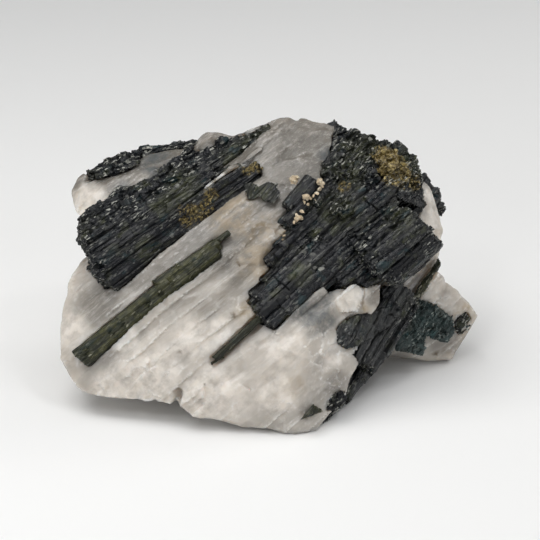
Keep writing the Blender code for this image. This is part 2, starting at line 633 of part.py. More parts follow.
def quartz(cutters):
    thing = object_from("quartz_matrix", hull(knob_corners()))
    combine(thing, quartz_lobes(), "UNION")
    grid = thing.modifiers.new("even_grid", "REMESH")
    grid.mode = "VOXEL"
    grid.voxel_size = QUARTZ_GRID
    settle(thing)
    weather(thing)
    thin = thing.modifiers.new("fewer_faces", "DECIMATE")
    thin.ratio = QUARTZ_TRIANGLES / (2.0 * len(thing.data.polygons))
    settle(thing)
    flatten_base(thing)
    combine(thing, cutters, "DIFFERENCE")
    keep_largest(thing)
    return thing


def flatten_base(thing):
    """Cuts the underside off level with the lowest point of the front edge."""
    body = bmesh.new()
    body.from_mesh(thing.data)
    cut = bmesh.ops.bisect_plane(
        body, geom=body.verts[:] + body.edges[:] + body.faces[:], dist=0.0001,
        plane_co=(0, 0, 0), plane_no=(0, 0, 1), clear_inner=True,
    )
    rim = [edge for edge in cut["geom_cut"] if isinstance(edge, bmesh.types.BMEdge)]
    bmesh.ops.holes_fill(body, edges=rim, sides=0)
    bmesh.ops.triangulate(body, faces=body.faces)
    bmesh.ops.recalc_face_normals(body, faces=body.faces)
    body.to_mesh(thing.data)
    body.free()


def main():
    for thing in list(bpy.data.objects):
        bpy.data.objects.remove(thing)
    rng = random.Random(SEED)
    black = base_material("black_tourmaline", BLACK_COLOUR, 0.32)
    green = base_material("green_tourmaline", GREEN_COLOUR, 0.3)
    blue = base_material("blue_tourmaline", BLUE_COLOUR, 0.35)
    gold = base_material("rusty_mica", GOLD_COLOUR, 0.5)
    feldspar = base_material("feldspar", FELDSPAR_COLOUR, 0.55)
    milky = base_material("milky_quartz", QUARTZ_COLOUR, 0.35)
    crystals = [
        ("right_tourmaline_bundle", right_bundle(rng), black),
        ("left_tourmaline_bundle", left_bundle(rng), black),
        ("left_top_tourmaline", left_top_crystals(rng), black),
        ("lower_tourmaline_bundle", lower_bundle(rng), black),
        ("blue_tourmaline_mass", blue_mass(rng), blue),
        ("long_green_crystal", long_green_crystal(), green),
        ("short_green_crystal", short_green_crystal(), green),
        ("small_black_crystal", small_black_crystal(), black),
        ("dark_chip", chip(), black),
        ("lower_edge_tourmaline", lower_edge_lump(rng), black),
        ("foot_tourmaline_stub", foot_stub(rng), black),
        ("edge_green_crystal", edge_crystal(), green),
        ("back_right_tourmaline", back_right_crystal(rng), black),
        ("rusty_mica_cluster", mica_cluster(rng), gold),
        ("back_tourmaline_bundle", back_bundle(), black),
        ("olive_wedge_crystal", olive_wedge(), green),
    ]
    for number, (place, size) in enumerate(FELDSPAR_GRAINS, 1):
        crystals.append((f"feldspar_grain_{number}", [feldspar_grain(place, size, rng)], feldspar))
    cutters = []
    for name, convex, material in crystals:
        thing = object_from(name, hull(convex[0]))
        combine(thing, convex[1:], "UNION")
        combine(thing, near(thing, cutters), "DIFFERENCE")
        if min(vertex.co.z for vertex in thing.data.vertices) < 0.0:
            flatten_base(thing)
        keep_largest(thing)
        cutters += [grown(corners, CLEARANCE) for corners in convex if holds(thing, corners)]
        finished(thing, material)
    finished(quartz(cutters), milky)


main()
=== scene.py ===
"""Dresses the tourmaline specimen: milky quartz, striated crystals, rusty mica and feldspar.

Each solid is copied onto a fine even grid, and the grid is then moved into columns, grooves,
ledges and grains. Places on the specimen are given as it is seen from the front, in
millimetres: across from the left edge, up from the lowest point, and out towards the front.
"""

import itertools
import math
import random

import bmesh
import bpy
import numpy as np
from bpy.props import FloatProperty, FloatVectorProperty, IntProperty, PointerProperty
from bpy.types import Operator, Panel, PropertyGroup
from mathutils import Euler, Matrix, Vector


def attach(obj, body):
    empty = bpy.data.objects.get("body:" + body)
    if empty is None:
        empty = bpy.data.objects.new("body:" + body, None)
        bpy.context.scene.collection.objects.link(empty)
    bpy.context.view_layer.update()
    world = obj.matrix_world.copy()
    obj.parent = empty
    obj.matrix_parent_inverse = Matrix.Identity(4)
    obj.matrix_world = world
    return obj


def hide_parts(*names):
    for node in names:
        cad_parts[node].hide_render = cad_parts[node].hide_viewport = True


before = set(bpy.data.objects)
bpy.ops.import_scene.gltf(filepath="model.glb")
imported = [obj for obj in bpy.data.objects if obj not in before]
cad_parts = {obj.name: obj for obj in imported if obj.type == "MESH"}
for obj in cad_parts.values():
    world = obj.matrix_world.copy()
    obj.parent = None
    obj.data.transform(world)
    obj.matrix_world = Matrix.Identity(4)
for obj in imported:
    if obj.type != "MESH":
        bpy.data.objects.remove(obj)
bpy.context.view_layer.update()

bl_info = {
    "name": "Tourmaline in matrix",
    "version": (1, 0, 0),
    "blender": (4, 5, 0),
    "location": "3D View > Sidebar > Tourmaline",
    "description": "Builds the looks of a tourmaline specimen in milky quartz",
    "category": "Object",
}

BODY = "root"
MM = 0.001
MOST_TRIANGLES = 190_000

SIGHT_ELEVATION = math.radians(25.0)
SIGHT_DISTANCE = 600.0
SIGHT_LENS = 160.0
SENSOR_WIDTH = 36.0
MIDDLE_ACROSS = 52.5
MIDDLE_UP = 41.0
ORIGIN_SHIFT = Vector((-0.82, -1.54, 28.4))
TO_EYE = Vector((0.0, -math.cos(SIGHT_ELEVATION), math.sin(SIGHT_ELEVATION)))


def seen(across, up, out):
    """The point, in millimetres, that shows this far across and up and lies this far out."""
    nearer = 1.0 - out / SIGHT_DISTANCE
    side = (across - MIDDLE_ACROSS) * nearer
    rise = (up - MIDDLE_UP) * nearer
    back = rise * math.sin(SIGHT_ELEVATION) - out * math.cos(SIGHT_ELEVATION)
    height = rise * math.cos(SIGHT_ELEVATION) + out * math.sin(SIGHT_ELEVATION)
    return Vector((side, back, height)) + ORIGIN_SHIFT


def growth(start, end):
    """The direction in which a crystal grew."""
    return (seen(*end) - seen(*start)).normalized()


RIGHT_GROWTH = growth((50.0, 30.6, 21.8), (86.5, 63.5, 6.0))
LEFT_GROWTH = growth((9.8, 40.0, 15.6), (46.0, 66.0, 7.6))
LOWER_GROWTH = growth((76.8, 18.0, 10.5), (86.8, 34.6, 2.0))
GREEN_GROWTH = growth((4.9, 18.9, 15.6), (39.0, 46.6, 16.0))
SHORT_GREEN_GROWTH = growth((38.9, 18.5, 21.9), (50.6, 29.2, 20.8))
BACK_GROWTH = growth((37.0, 33.0, -20.0), (76.0, 62.0, -17.0))
SMALL_GROWTH = growth((57.0, 57.2, 13.0), (62.6, 64.2, 10.6))
SHOULDER_GROWTH = growth((10.0, 67.0, -9.5), (24.0, 71.6, -12.0))
EDGE_GROWTH = growth((87.6, 33.2, -1.6), (95.0, 43.6, -5.0))


# Noise, in millimetres


def scatter(cells, seed):
    """A number from 0 to 1 for each whole-numbered cell."""
    mixed = np.full(len(cells), seed * 7919 + 13, np.uint64)
    for column in cells.astype(np.int64).T:
        mixed = (mixed ^ column.astype(np.uint64)) * np.uint64(0x9E3779B97F4A7C15)
        mixed ^= mixed >> np.uint64(29)
    return (mixed >> np.uint64(11)).astype(float) / 2.0**53


def drift(points, size, seed):
    """Smooth noise from -1 to 1 with lumps of this size."""
    place = points / size
    cell = np.floor(place)
    part = place - cell
    part = part * part * (3.0 - 2.0 * part)
    total = np.zeros(len(points))
    for corner in itertools.product((0, 1), repeat=3):
        weight = np.prod(np.where(corner, part, 1.0 - part), axis=1)
        total += weight * scatter(cell + corner, seed)
    return 2.0 * total - 1.0


def grains(points, size, seed):
    """The grain that holds each point, how far the next one is, and the way from the grain's middle."""
    cell = np.floor(points / size)
    nearest = np.full(len(points), np.inf)
    second = nearest.copy()
    owner = cell.copy()
    way = np.zeros_like(points)
    for step in itertools.product((-1, 0, 1), repeat=points.shape[1]):
        other = cell + step
        middle = np.stack([other[:, i] + scatter(other, seed + i) for i in range(points.shape[1])], 1)
        offset = points - middle * size
        reach = np.linalg.norm(offset, axis=1)
        closer = reach < nearest
        second = np.where(closer, nearest, np.minimum(second, reach))
        owner = np.where(closer[:, None], other, owner)
        way = np.where(closer[:, None], offset, way)
        nearest = np.where(closer, reach, nearest)
    return owner, second - nearest, way


def leaning(owner, way, slope, seed):
    """Height of flat grains that each lean their own way."""
    lean = [2.0 * scatter(owner, seed + i) - 1.0 for i in range(way.shape[1])]
    return slope * sum(way[:, i] * lean[i] for i in range(way.shape[1]))


def fade(value, low, high):
    """0 below low, 1 above high and smooth between."""
    part = np.clip((value - low) / (high - low), 0.0, 1.0)
    return part * part * (3.0 - 2.0 * part)


def distance_as_seen(offset):
    """Length of each offset, with the share along the line of sight counted less."""
    out = offset @ np.array(TO_EYE)
    beside = offset - np.outer(out, np.array(TO_EYE))
    return np.sqrt(np.sum(beside**2, axis=1) + (0.3 * out) ** 2)


def near_places(points, places):
    """How near each point is to any of the named places, from 0 to 1."""
    near = np.zeros(len(points))
    for place, reach in places:
        away = distance_as_seen(points - np.array(seen(*place)))
        near = np.maximum(near, 1.0 - fade(away, 0.4 * reach, reach))
    return near


def near_line(points, start, end, reach):
    """How near each point is to the line between two places, from 0 to 1."""
    first, last = np.array(seen(*start)), np.array(seen(*end))
    run = last - first
    part = np.clip((points - first) @ run / (run @ run), 0.0, 1.0)
    away = distance_as_seen(points - first - part[:, None] * run)
    return 1.0 - fade(away, 0.25 * reach, reach)


def cut_flat(points, place, facing, reach):
    """Takes off what stands out beyond a flat face through the place.

    The facing is given as seen: across, up and out.
    """
    across, up, out = Vector(facing).normalized()
    upward = Vector((0.0, math.sin(SIGHT_ELEVATION), math.cos(SIGHT_ELEVATION)))
    normal = np.array(Vector((1.0, 0.0, 0.0)) * across + upward * up + TO_EYE * out)
    offset = points - np.array(seen(*place))
    near = 1.0 - fade(np.linalg.norm(offset, axis=1), 0.6 * reach, reach)
    return points - np.outer(np.maximum(offset @ normal, 0.0) * near, normal)


# Meshes


def applied(piece):
    """Makes the modifiers' result the piece's own mesh."""
    graph = bpy.context.evaluated_depsgraph_get()
    name = piece.data.name
    piece.data = bpy.data.meshes.new_from_object(piece.evaluated_get(graph))
    piece.data.name = name
    piece.modifiers.clear()


def add_lump(body, corners):
    """Adds the convex body round these corners, given in millimetres."""
    new = [body.verts.new(Vector(corner) * MM) for corner in corners]
    made = bmesh.ops.convex_hull(body, input=new)
    loose = {v for v in made["geom_interior"] + made["geom_unused"] if isinstance(v, bmesh.types.BMVert)}
    bmesh.ops.delete(body, geom=list(loose), context="VERTS")


def on_grid(name, node, spacing, lumps=()):
    """A copy of the solid on an even grid, spaced in millimetres, grown together with the lumps."""
    body = bmesh.new()
    body.from_mesh(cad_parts[node].data)
    bmesh.ops.remove_doubles(body, verts=body.verts, dist=0.001 * MM)
    for corners in lumps:
        add_lump(body, [seen(*corner) for corner in corners])
    bmesh.ops.recalc_face_normals(body, faces=body.faces)
    mesh = bpy.data.meshes.new(name)
    body.to_mesh(mesh)
    body.free()
    piece = bpy.data.objects.new(name, mesh)
    bpy.context.scene.collection.objects.link(piece)
    grid = piece.modifiers.new("even_grid", "REMESH")
    grid.mode = "VOXEL"
    grid.voxel_size = spacing * MM
    applied(piece)
    return piece


def thin_out(piece):
    """Keeps the mesh within its share of triangles, and the most of them where it bends."""
    triangles = len(piece.data.loops) - 2 * len(piece.data.polygons)
    if triangles > MOST_TRIANGLES:
        fewer = piece.modifiers.new("fewer_faces", "DECIMATE")
        fewer.ratio = MOST_TRIANGLES / triangles
        applied(piece)


def read_points(piece):
    flat = np.empty(len(piece.data.vertices) * 3, np.float32)
    piece.data.vertices.foreach_get("co", flat)
    return flat.reshape(-1, 3).astype(float) / MM


def read_normals(piece):
    flat = np.empty(len(piece.data.vertices) * 3, np.float32)
    piece.data.vertex_normals.foreach_get("vector", flat)
    return flat.reshape(-1, 3).astype(float)


def write_points(piece, points):
    points[:, 2] = np.maximum(points[:, 2], 0.0)
    piece.data.vertices.foreach_set("co", (points * MM).astype(np.float32).ravel())
    piece.data.update()


def mask(piece, name, values):
    piece.data.attributes.new(name, "FLOAT", "POINT").data.foreach_set("value", values.astype(np.float32))


def crystal_place(points, axis):
    """Each point's place along the growth direction and across it, two ways."""
    side = axis.cross(TO_EYE).normalized()
    front = side.cross(axis).normalized()
    return points @ np.array(axis), points @ np.array(side), points @ np.array(front)


def keep_crystal_place(piece, points, axis):
    place = np.stack(crystal_place(points, axis), 1).astype(np.float32)
    kept = piece.data.attributes.new("crystal_place", "FLOAT_VECTOR", "POINT")
    kept.data.foreach_set("vector", place.ravel())


def finish_piece(piece, node, material, crisp=38.0):
    thin_out(piece)
    piece.data.materials.clear()
    piece.data.materials.append(material)
    piece.data.shade_smooth()
    piece.data.set_sharp_from_angle(angle=math.radians(crisp))
    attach(piece, BODY)
    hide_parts(node)
    return piece


# Crystals


COLUMN_LEVELS = (
    # width, height, lean and length of a column, as shares of the pitch, relief, 1 and width
    (3.1, 1.2, 0.3, 4.0),
    (1.1, 0.5, 0.26, 7.0),
    (0.42, 0.2, 0.24, 12.0),
)


def carve_crystal(piece, axis, pitch, relief, chip, seed, swell):
    """Turns a plain bar or bundle into many grown columns with broken ends."""
    points, normals = read_points(piece), read_normals(piece)
    keep_crystal_place(piece, points, axis)
    along, across, deep = crystal_place(points, axis)
    bend = 0.4 * drift(points, 9.0, seed)
    flat = np.stack([across + bend, deep - bend], 1)
    columns = np.zeros(len(points))
    hollow = np.zeros(len(points))
    owners = []
    for number, (width, height, lean, length) in enumerate(COLUMN_LEVELS):
        start = seed + 10 * number
        column, joint, way = grains(flat, width * pitch, start)
        block = np.floor(along / (length * width * pitch) + 9.0 * scatter(column, start + 3))
        step = scatter(np.column_stack([column, block]), start + 4) - 0.5
        columns += height * relief * step + leaning(column, way, lean * min(relief, 1.0), start + 5)
        columns -= 0.35 * height * relief * np.exp(-joint / (0.12 * width * pitch))
        # where shade is painted: close to the joints between columns
        hollow = np.maximum(hollow, min(1.5 * height, 1.0) * np.exp(-joint / (0.2 * width * pitch)))
        owners.append(np.column_stack([column, block]))
    endwise = np.abs(normals @ np.array(axis))
    sideways = np.sqrt(np.clip(1.0 - endwise**2, 0.0, 1.0))
    rough = np.maximum(near_places(points, BROKEN), 0.8 * fade(endwise, 0.5, 0.85))
    rough = np.clip(rough + 0.6 * min(chip, 1.0) ** 2 * fade(drift(points, 3.2, seed + 41), 0.3, 0.7), 0.0, 1.0)
    chips = np.zeros(len(points))
    gap_share = np.zeros(len(points))
    for number, (size, stretch) in enumerate(((1.1 * chip, 0.24), (0.45 * chip, 0.36))):
        start = seed + 50 + 10 * number
        grain, gap, way = grains(np.stack([stretch * along, across + bend, deep], 1), size, start)
        chips += 0.5 * size * (scatter(grain, start + 3) - 0.5) + leaning(grain, way, 0.6, start + 4)
        gap_share = np.maximum(gap_share, np.exp(-gap / (0.1 * size)))
    height = swell + columns * sideways * (1.0 - 0.2 * rough) + chips * rough
    height = np.clip(height, -1.6, 1.3)
    points = points + normals * height[:, None]
    mask(piece, "rough", rough)
    mask(piece, "stain", near_places(points, RUST))
    mask(piece, "moss", near_places(points, MOSS))
    mask(piece, "dusty", near_places(points, DUSTY))
    # painted shade in the column joints and, on broken parts, in the gaps between grains
    mask(piece, "hollow", np.clip(hollow * (1.0 - 0.7 * rough) + 0.7 * gap_share * rough, 0.0, 1.0))
    mask(piece, "tint", scatter(owners[1], seed + 90))
    write_points(piece, points)


# Shader building


def new_material(name):
    made = bpy.data.materials.new(name)
    made.use_nodes = True
    nodes = made.node_tree.nodes
    return made, nodes, made.node_tree.links, nodes["Principled BSDF"]


def node_of(tree, kind, **values):
    made = tree.nodes.new(kind)
    for key, value in values.items():
        if key in made.inputs:
            made.inputs[key].default_value = value
        else:
            setattr(made, key, value)
    return made


def read_mask(tree, name):
    return node_of(tree, "ShaderNodeAttribute", attribute_name=name)


def blend_colours(tree, factor, low, high):
    """A colour node that goes from low to high; each may be a colour or another node's output."""
    made = tree.nodes.new("ShaderNodeMix")
    made.data_type = "RGBA"
    for socket, value in ((made.inputs[0], factor), (made.inputs[6], low), (made.inputs[7], high)):
        if isinstance(value, bpy.types.NodeSocket):
            tree.links.new(value, socket)
        else:
            socket.default_value = value
    return made.outputs[2]


def level(tree, value, low, high, bottom=0.0, top=1.0):
    """Maps the value's range low to high onto bottom to top, and stops there."""
    made = tree.nodes.new("ShaderNodeMapRange")
    tree.links.new(value, made.inputs["Value"])
    made.inputs["From Min"].default_value = low
    made.inputs["From Max"].default_value = high
    made.inputs["To Min"].default_value = bottom
    made.inputs["To Max"].default_value = top
    return made.outputs["Result"]


def combine_values(tree, operation, first, second):
    made = tree.nodes.new("ShaderNodeMath")
    made.operation = operation
    for socket, value in ((made.inputs[0], first), (made.inputs[1], second)):
        if isinstance(value, bpy.types.NodeSocket):
            tree.links.new(value, socket)
        else:
            socket.default_value = value
    return made.outputs[0]


def noise_of(tree, place, scale, detail=4.0, roughness=0.6):
    made = node_of(tree, "ShaderNodeTexNoise", Scale=scale, Detail=detail, Roughness=roughness)
    tree.links.new(place, made.inputs["Vector"])
    return made.outputs["Fac"]


def stretched(tree, place, scale):
    made = tree.nodes.new("ShaderNodeMapping")
    made.inputs["Scale"].default_value = scale
    tree.links.new(place, made.inputs["Vector"])
    return made.outputs["Vector"]


def group_socket(group, name, direction, kind):
    return group.interface.new_socket(name=name, in_out=direction, socket_type=kind)


def striation_group():
    """Height and shade of the fine lines that run along a crystal, shared by the tourmalines."""
    group = bpy.data.node_groups.get("crystal_striation")
    if group:
        return group
    group = bpy.data.node_groups.new("crystal_striation", "ShaderNodeTree")
    group_socket(group, "Lines per mm", "INPUT", "NodeSocketFloat")
    group_socket(group, "Height", "OUTPUT", "NodeSocketFloat")
    group_socket(group, "Shade", "OUTPUT", "NodeSocketFloat")
    given = group.nodes.new("NodeGroupInput")
    result = group.nodes.new("NodeGroupOutput")
    place = read_mask(group, "crystal_place").outputs["Vector"]
    lines = noise_of(group, stretched(group, place, (0.05, 1.0, 1.0)), 1.0, 5.0, 0.7)
    group.links.new(given.outputs["Lines per mm"], lines.node.inputs["Scale"])
    dust = noise_of(group, place, 7.0, 3.0, 0.7)
    height = combine_values(group, "ADD", lines, combine_values(group, "MULTIPLY", dust, 0.2))
    group.links.new(height, result.inputs["Height"])
    group.links.new(level(group, lines, 0.35, 0.68), result.inputs["Shade"])
    return group


def facet_group():
    """A normal that leans another way in each small cell, so that broken crystal glints."""
    group = bpy.data.node_groups.get("crystal_facets")
    if group:
        return group
    group = bpy.data.node_groups.new("crystal_facets", "ShaderNodeTree")
    group_socket(group, "Place", "INPUT", "NodeSocketVector")
    group_socket(group, "Cells per mm", "INPUT", "NodeSocketFloat")
    group_socket(group, "Lean", "INPUT", "NodeSocketFloat")
    group_socket(group, "Normal", "OUTPUT", "NodeSocketVector")
    group_socket(group, "Cell", "OUTPUT", "NodeSocketFloat")
    given = group.nodes.new("NodeGroupInput")
    result = group.nodes.new("NodeGroupOutput")
    cells = group.nodes.new("ShaderNodeTexVoronoi")
    group.links.new(given.outputs["Place"], cells.inputs["Vector"])
    group.links.new(given.outputs["Cells per mm"], cells.inputs["Scale"])
    centred = group.nodes.new("ShaderNodeVectorMath")
    centred.operation = "SUBTRACT"
    centred.inputs[1].default_value = (0.5, 0.5, 0.5)
    group.links.new(cells.outputs["Color"], centred.inputs[0])
    scaled = group.nodes.new("ShaderNodeVectorMath")
    scaled.operation = "SCALE"
    group.links.new(centred.outputs[0], scaled.inputs[0])
    group.links.new(given.outputs["Lean"], scaled.inputs["Scale"])
    added = group.nodes.new("ShaderNodeVectorMath")
    added.operation = "ADD"
    group.links.new(group.nodes.new("ShaderNodeNewGeometry").outputs["Normal"], added.inputs[0])
    group.links.new(scaled.outputs[0], added.inputs[1])
    straight = group.nodes.new("ShaderNodeVectorMath")
    straight.operation = "NORMALIZE"
    group.links.new(added.outputs[0], straight.inputs[0])
    group.links.new(straight.outputs[0], result.inputs["Normal"])
    apart = group.nodes.new("ShaderNodeSeparateColor")
    group.links.new(cells.outputs["Color"], apart.inputs[0])
    group.links.new(apart.outputs[0], result.inputs["Cell"])
    return group


def add_facets(tree, place, cells_per_mm, lean):
    made = tree.nodes.new("ShaderNodeGroup")
    made.node_tree = facet_group()
    tree.links.new(place, made.inputs["Place"])
    made.inputs["Cells per mm"].default_value = cells_per_mm
    if isinstance(lean, bpy.types.NodeSocket):
        tree.links.new(lean, made.inputs["Lean"])
    else:
        made.inputs["Lean"].default_value = lean
    return made


def crystal_material(name, dark, light, warm, cool, roughness, painted_glint, lines=3.0):
    """A glossy striated crystal that turns to glinting grains where it is broken, with part of the glints painted into
    its colour.
    """
    made, nodes, links, shader = new_material(name)
    tree = made.node_tree
    place = read_mask(tree, "crystal_place").outputs["Vector"]
    striation = tree.nodes.new("ShaderNodeGroup")
    striation.node_tree = striation_group()
    striation.inputs["Lines per mm"].default_value = lines
    rough = read_mask(tree, "rough").outputs["Fac"]
    tint = read_mask(tree, "tint").outputs["Fac"]
    hollow = read_mask(tree, "hollow").outputs["Fac"]
    stain = read_mask(tree, "stain").outputs["Fac"]
    lean = level(tree, rough, 0.0, 0.8, 0.26, 1.05)
    facets = add_facets(tree, stretched(tree, place, (0.32, 1.0, 1.0)), 3.3, lean)
    cell = facets.outputs["Cell"]
    shade = level(tree, striation.outputs["Shade"], 0.0, 1.0, 0.0, 0.9)
    shade = combine_values(tree, "MULTIPLY", shade, level(tree, rough, 0.0, 0.6, 0.4, 1.0))
    base = blend_colours(tree, shade, dark, light)
    moss = level(tree, noise_of(tree, place, 0.2, 5.0, 0.65), 0.52, 0.68)
    mossy = level(tree, noise_of(tree, stretched(tree, place, (0.22, 1.0, 1.0)), 1.3, 5.0, 0.75), 0.4, 0.6)
    mossy = combine_values(tree, "MULTIPLY", mossy, read_mask(tree, "moss").outputs["Fac"])
    moss = combine_values(tree, "MULTIPLY", moss, level(tree, tint, 0.1, 0.7))
    base = blend_colours(tree, combine_values(tree, "MAXIMUM", moss, mossy), base, warm)
    teal = level(tree, noise_of(tree, stretched(tree, place, (0.6, 1.0, 1.3)), 0.33, 3.0, 0.6), 0.56, 0.66)
    base = blend_colours(tree, combine_values(tree, "MULTIPLY", teal, level(tree, tint, 0.9, 0.2)), base, cool)
    # painted glints: small light spots in the base colour of the broken grains
    spots = combine_values(tree, "MULTIPLY", level(tree, cell, 0.87, 0.93), level(tree, rough, 0.1, 0.9, 0.2, 1.0))
    base = blend_colours(tree, spots, base, painted_glint)
    # painted reflections: light streaks along the brightest striation lines, in the painted glint colour
    painted_streak = level(tree, striation.outputs["Shade"], 0.8, 1.0, 0.0, 0.45)
    base = blend_colours(tree, combine_values(tree, "MULTIPLY", painted_streak, level(tree, tint, 0.3, 0.8)), base, painted_glint)
    rust = level(tree, noise_of(tree, place, 1.3, 6.0, 0.8), 0.47, 0.56)
    rust = combine_values(tree, "MULTIPLY", stain, rust)
    gold = blend_colours(tree, level(tree, cell, 0.2, 0.9), (0.09, 0.068, 0.024, 1.0), (0.48, 0.36, 0.12, 1.0))
    base = blend_colours(tree, rust, base, gold)
    dusty = level(tree, noise_of(tree, place, 0.9, 5.0, 0.7), 0.35, 0.6, 0.2, 0.8)
    dusty = combine_values(tree, "MULTIPLY", dusty, read_mask(tree, "dusty").outputs["Fac"])
    base = blend_colours(tree, dusty, base, (0.060, 0.062, 0.062, 1.0))
    # painted shade: near-black colour in the grooves and gaps, which are also made rougher below
    base = blend_colours(tree, level(tree, hollow, 0.35, 1.0, 0.0, 0.8), base, (0.003, 0.0035, 0.004, 1.0))
    links.new(base, shader.inputs["Base Color"])
    gloss = level(tree, striation.outputs["Shade"], 0.0, 1.0, roughness - 0.08, roughness + 0.1)
    gloss = combine_values(tree, "ADD", gloss, level(tree, hollow, 0.2, 0.9, 0.0, 0.35))
    gloss = combine_values(tree, "ADD", gloss, combine_values(tree, "MULTIPLY", rust, 0.25))
    links.new(gloss, shader.inputs["Roughness"])
    bump = node_of(tree, "ShaderNodeBump", Strength=0.65, Distance=0.00025)
    links.new(striation.outputs["Height"], bump.inputs["Height"])
    links.new(facets.outputs["Normal"], bump.inputs["Normal"])
    links.new(bump.outputs["Normal"], shader.inputs["Normal"])
    shader.inputs["IOR"].default_value = 1.63
    shader.inputs["Specular IOR Level"].default_value = 0.25
    return made


def quartz_material(settings):
    """Milky quartz: white veils and stains in a translucent body that is clearer towards the top."""
    made, nodes, links, shader = new_material("milky_quartz")
    tree = made.node_tree
    place = read_mask(tree, "crystal_place").outputs["Vector"]
    milk = opaque(settings.quartz_milk)
    clear = opaque(settings.quartz_clear)
    wide = noise_of(tree, stretched(tree, place, (0.6, 1.0, 1.0)), 0.12, 4.0, 0.55)
    clearness = read_mask(tree, "clear").outputs["Fac"]
    clearness = combine_values(tree, "ADD", clearness, level(tree, wide, 0.3, 0.7, -0.3, 0.3))
    base = blend_colours(tree, level(tree, clearness, 0.0, 1.0), milk, clear)
    mottle = noise_of(tree, stretched(tree, place, (0.5, 1.0, 1.0)), 0.3, 5.0, 0.6)
    base = blend_colours(tree, level(tree, mottle, 0.5, 0.74, 0.0, 0.3), base, (0.25, 0.235, 0.21, 1.0))
    base = blend_colours(
        tree, level(tree, read_mask(tree, "face_tone").outputs["Fac"], 0.3, 1.0, 0.0, 0.3),
        base, (0.22, 0.21, 0.195, 1.0),
    )
    veil = noise_of(tree, stretched(tree, place, (0.1, 1.0, 0.8)), 0.62, 6.0, 0.68)
    base = blend_colours(tree, level(tree, veil, 0.54, 0.76, 0.0, 0.5), base, (0.74, 0.70, 0.65, 1.0))
    scratches = noise_of(tree, stretched(tree, place, (0.12, 1.0, 1.0)), 2.9, 5.0, 0.75)
    scratches = combine_values(tree, "MULTIPLY", level(tree, scratches, 0.53, 0.70), level(tree, clearness, 0.1, 0.9))
    base = blend_colours(tree, combine_values(tree, "MULTIPLY", scratches, 0.5), base, (0.54, 0.52, 0.49, 1.0))
    for name, tone, share in (
        ("beige", (0.34, 0.265, 0.17, 1.0), 0.75), ("grey_cloud", (0.085, 0.095, 0.098, 1.0), 0.85),
        ("pale", (0.80, 0.745, 0.68, 1.0), 0.8), ("shade_side", (0.30, 0.27, 0.235, 1.0), 0.5),
    ):
        patchy = level(tree, noise_of(tree, place, 0.35, 5.0, 0.6), 0.3, 0.6)
        amount = combine_values(tree, "MULTIPLY", read_mask(tree, name).outputs["Fac"], patchy)
        base = blend_colours(tree, combine_values(tree, "MULTIPLY", amount, share), base, tone)
    # painted highlight: near-white lines along the flute ridges and the broken edges
    edges = level(tree, noise_of(tree, place, 0.8, 4.0, 0.7), 0.4, 0.62, 0.1, 0.8)
    edges = combine_values(tree, "MULTIPLY", edges, read_mask(tree, "crest").outputs["Fac"])
    base = blend_colours(tree, edges, base, (0.88, 0.86, 0.835, 1.0))
    base = blend_colours(tree, read_mask(tree, "needle").outputs["Fac"], base, (0.10, 0.07, 0.035, 1.0))
    links.new(base, shader.inputs["Base Color"])
    links.new(level(tree, mottle, 0.3, 0.7, 0.1, 0.26), shader.inputs["Roughness"])
    facets = add_facets(tree, place, 0.8, 0.1)
    ripple = noise_of(tree, stretched(tree, place, (0.2, 1.0, 1.0)), 1.3, 6.0, 0.68)
    bump = node_of(tree, "ShaderNodeBump", Strength=0.36, Distance=0.0005)
    links.new(ripple, bump.inputs["Height"])
    links.new(facets.outputs["Normal"], bump.inputs["Normal"])
    links.new(bump.outputs["Normal"], shader.inputs["Normal"])
    shader.inputs["IOR"].default_value = 1.545
    shader.inputs["Subsurface Weight"].default_value = 0.85
    shader.inputs["Subsurface Radius"].default_value = (1.0, 0.88, 0.76)
    shader.inputs["Subsurface Scale"].default_value = 0.0055
    return made


def grainy_material(name, low, middle, high, roughness, cells_per_mm):
    """Small dark, middling and bright grains packed together."""
    made, nodes, links, shader = new_material(name)
    tree = made.node_tree
    spot = stretched(tree, node_of(tree, "ShaderNodeTexCoord").outputs["Object"], (1000.0, 1000.0, 1000.0))
    facets = add_facets(tree, spot, cells_per_mm, 0.8)
    mottled = noise_of(tree, spot, 0.5, 6.0, 0.75)
    base = blend_colours(tree, level(tree, mottled, 0.34, 0.56), low, middle)
    bright = combine_values(tree, "MULTIPLY", level(tree, mottled, 0.4, 0.6, 0.4, 1.0), facets.outputs["Cell"])
    base = blend_colours(tree, level(tree, bright, 0.3, 0.8), base, high)
    links.new(base, shader.inputs["Base Color"])
    links.new(level(tree, mottled, 0.3, 0.7, roughness - 0.12, roughness + 0.12), shader.inputs["Roughness"])
    links.new(facets.outputs["Normal"], shader.inputs["Normal"])
    return made


# Settings


class SpecimenSizes(PropertyGroup):
    """Sizes of the surface, in millimetres."""

    quartz_grid: FloatProperty(name="Quartz grid", description="Spacing of the quartz mesh in mm", default=0.42, min=0.3)
    crystal_grid: FloatProperty(name="Crystal grid", description="Spacing of a bundle's mesh in mm", default=0.24, min=0.15)
    column_pitch: FloatProperty(name="Column pitch", description="Width of one grown column in mm", default=1.25, min=0.5)
    column_relief: FloatProperty(name="Column relief", description="Height between columns in mm", default=0.85, min=0.0)
    flute_pitch: FloatProperty(name="Flute pitch", description="Width of a groove in the quartz in mm", default=4.1, min=0.5)
    flute_relief: FloatProperty(name="Flute relief", description="Depth of a groove in the quartz in mm", default=0.55, min=0.0)
    seed: IntProperty(name="Seed", description="Starts every pattern", default=5, min=0)


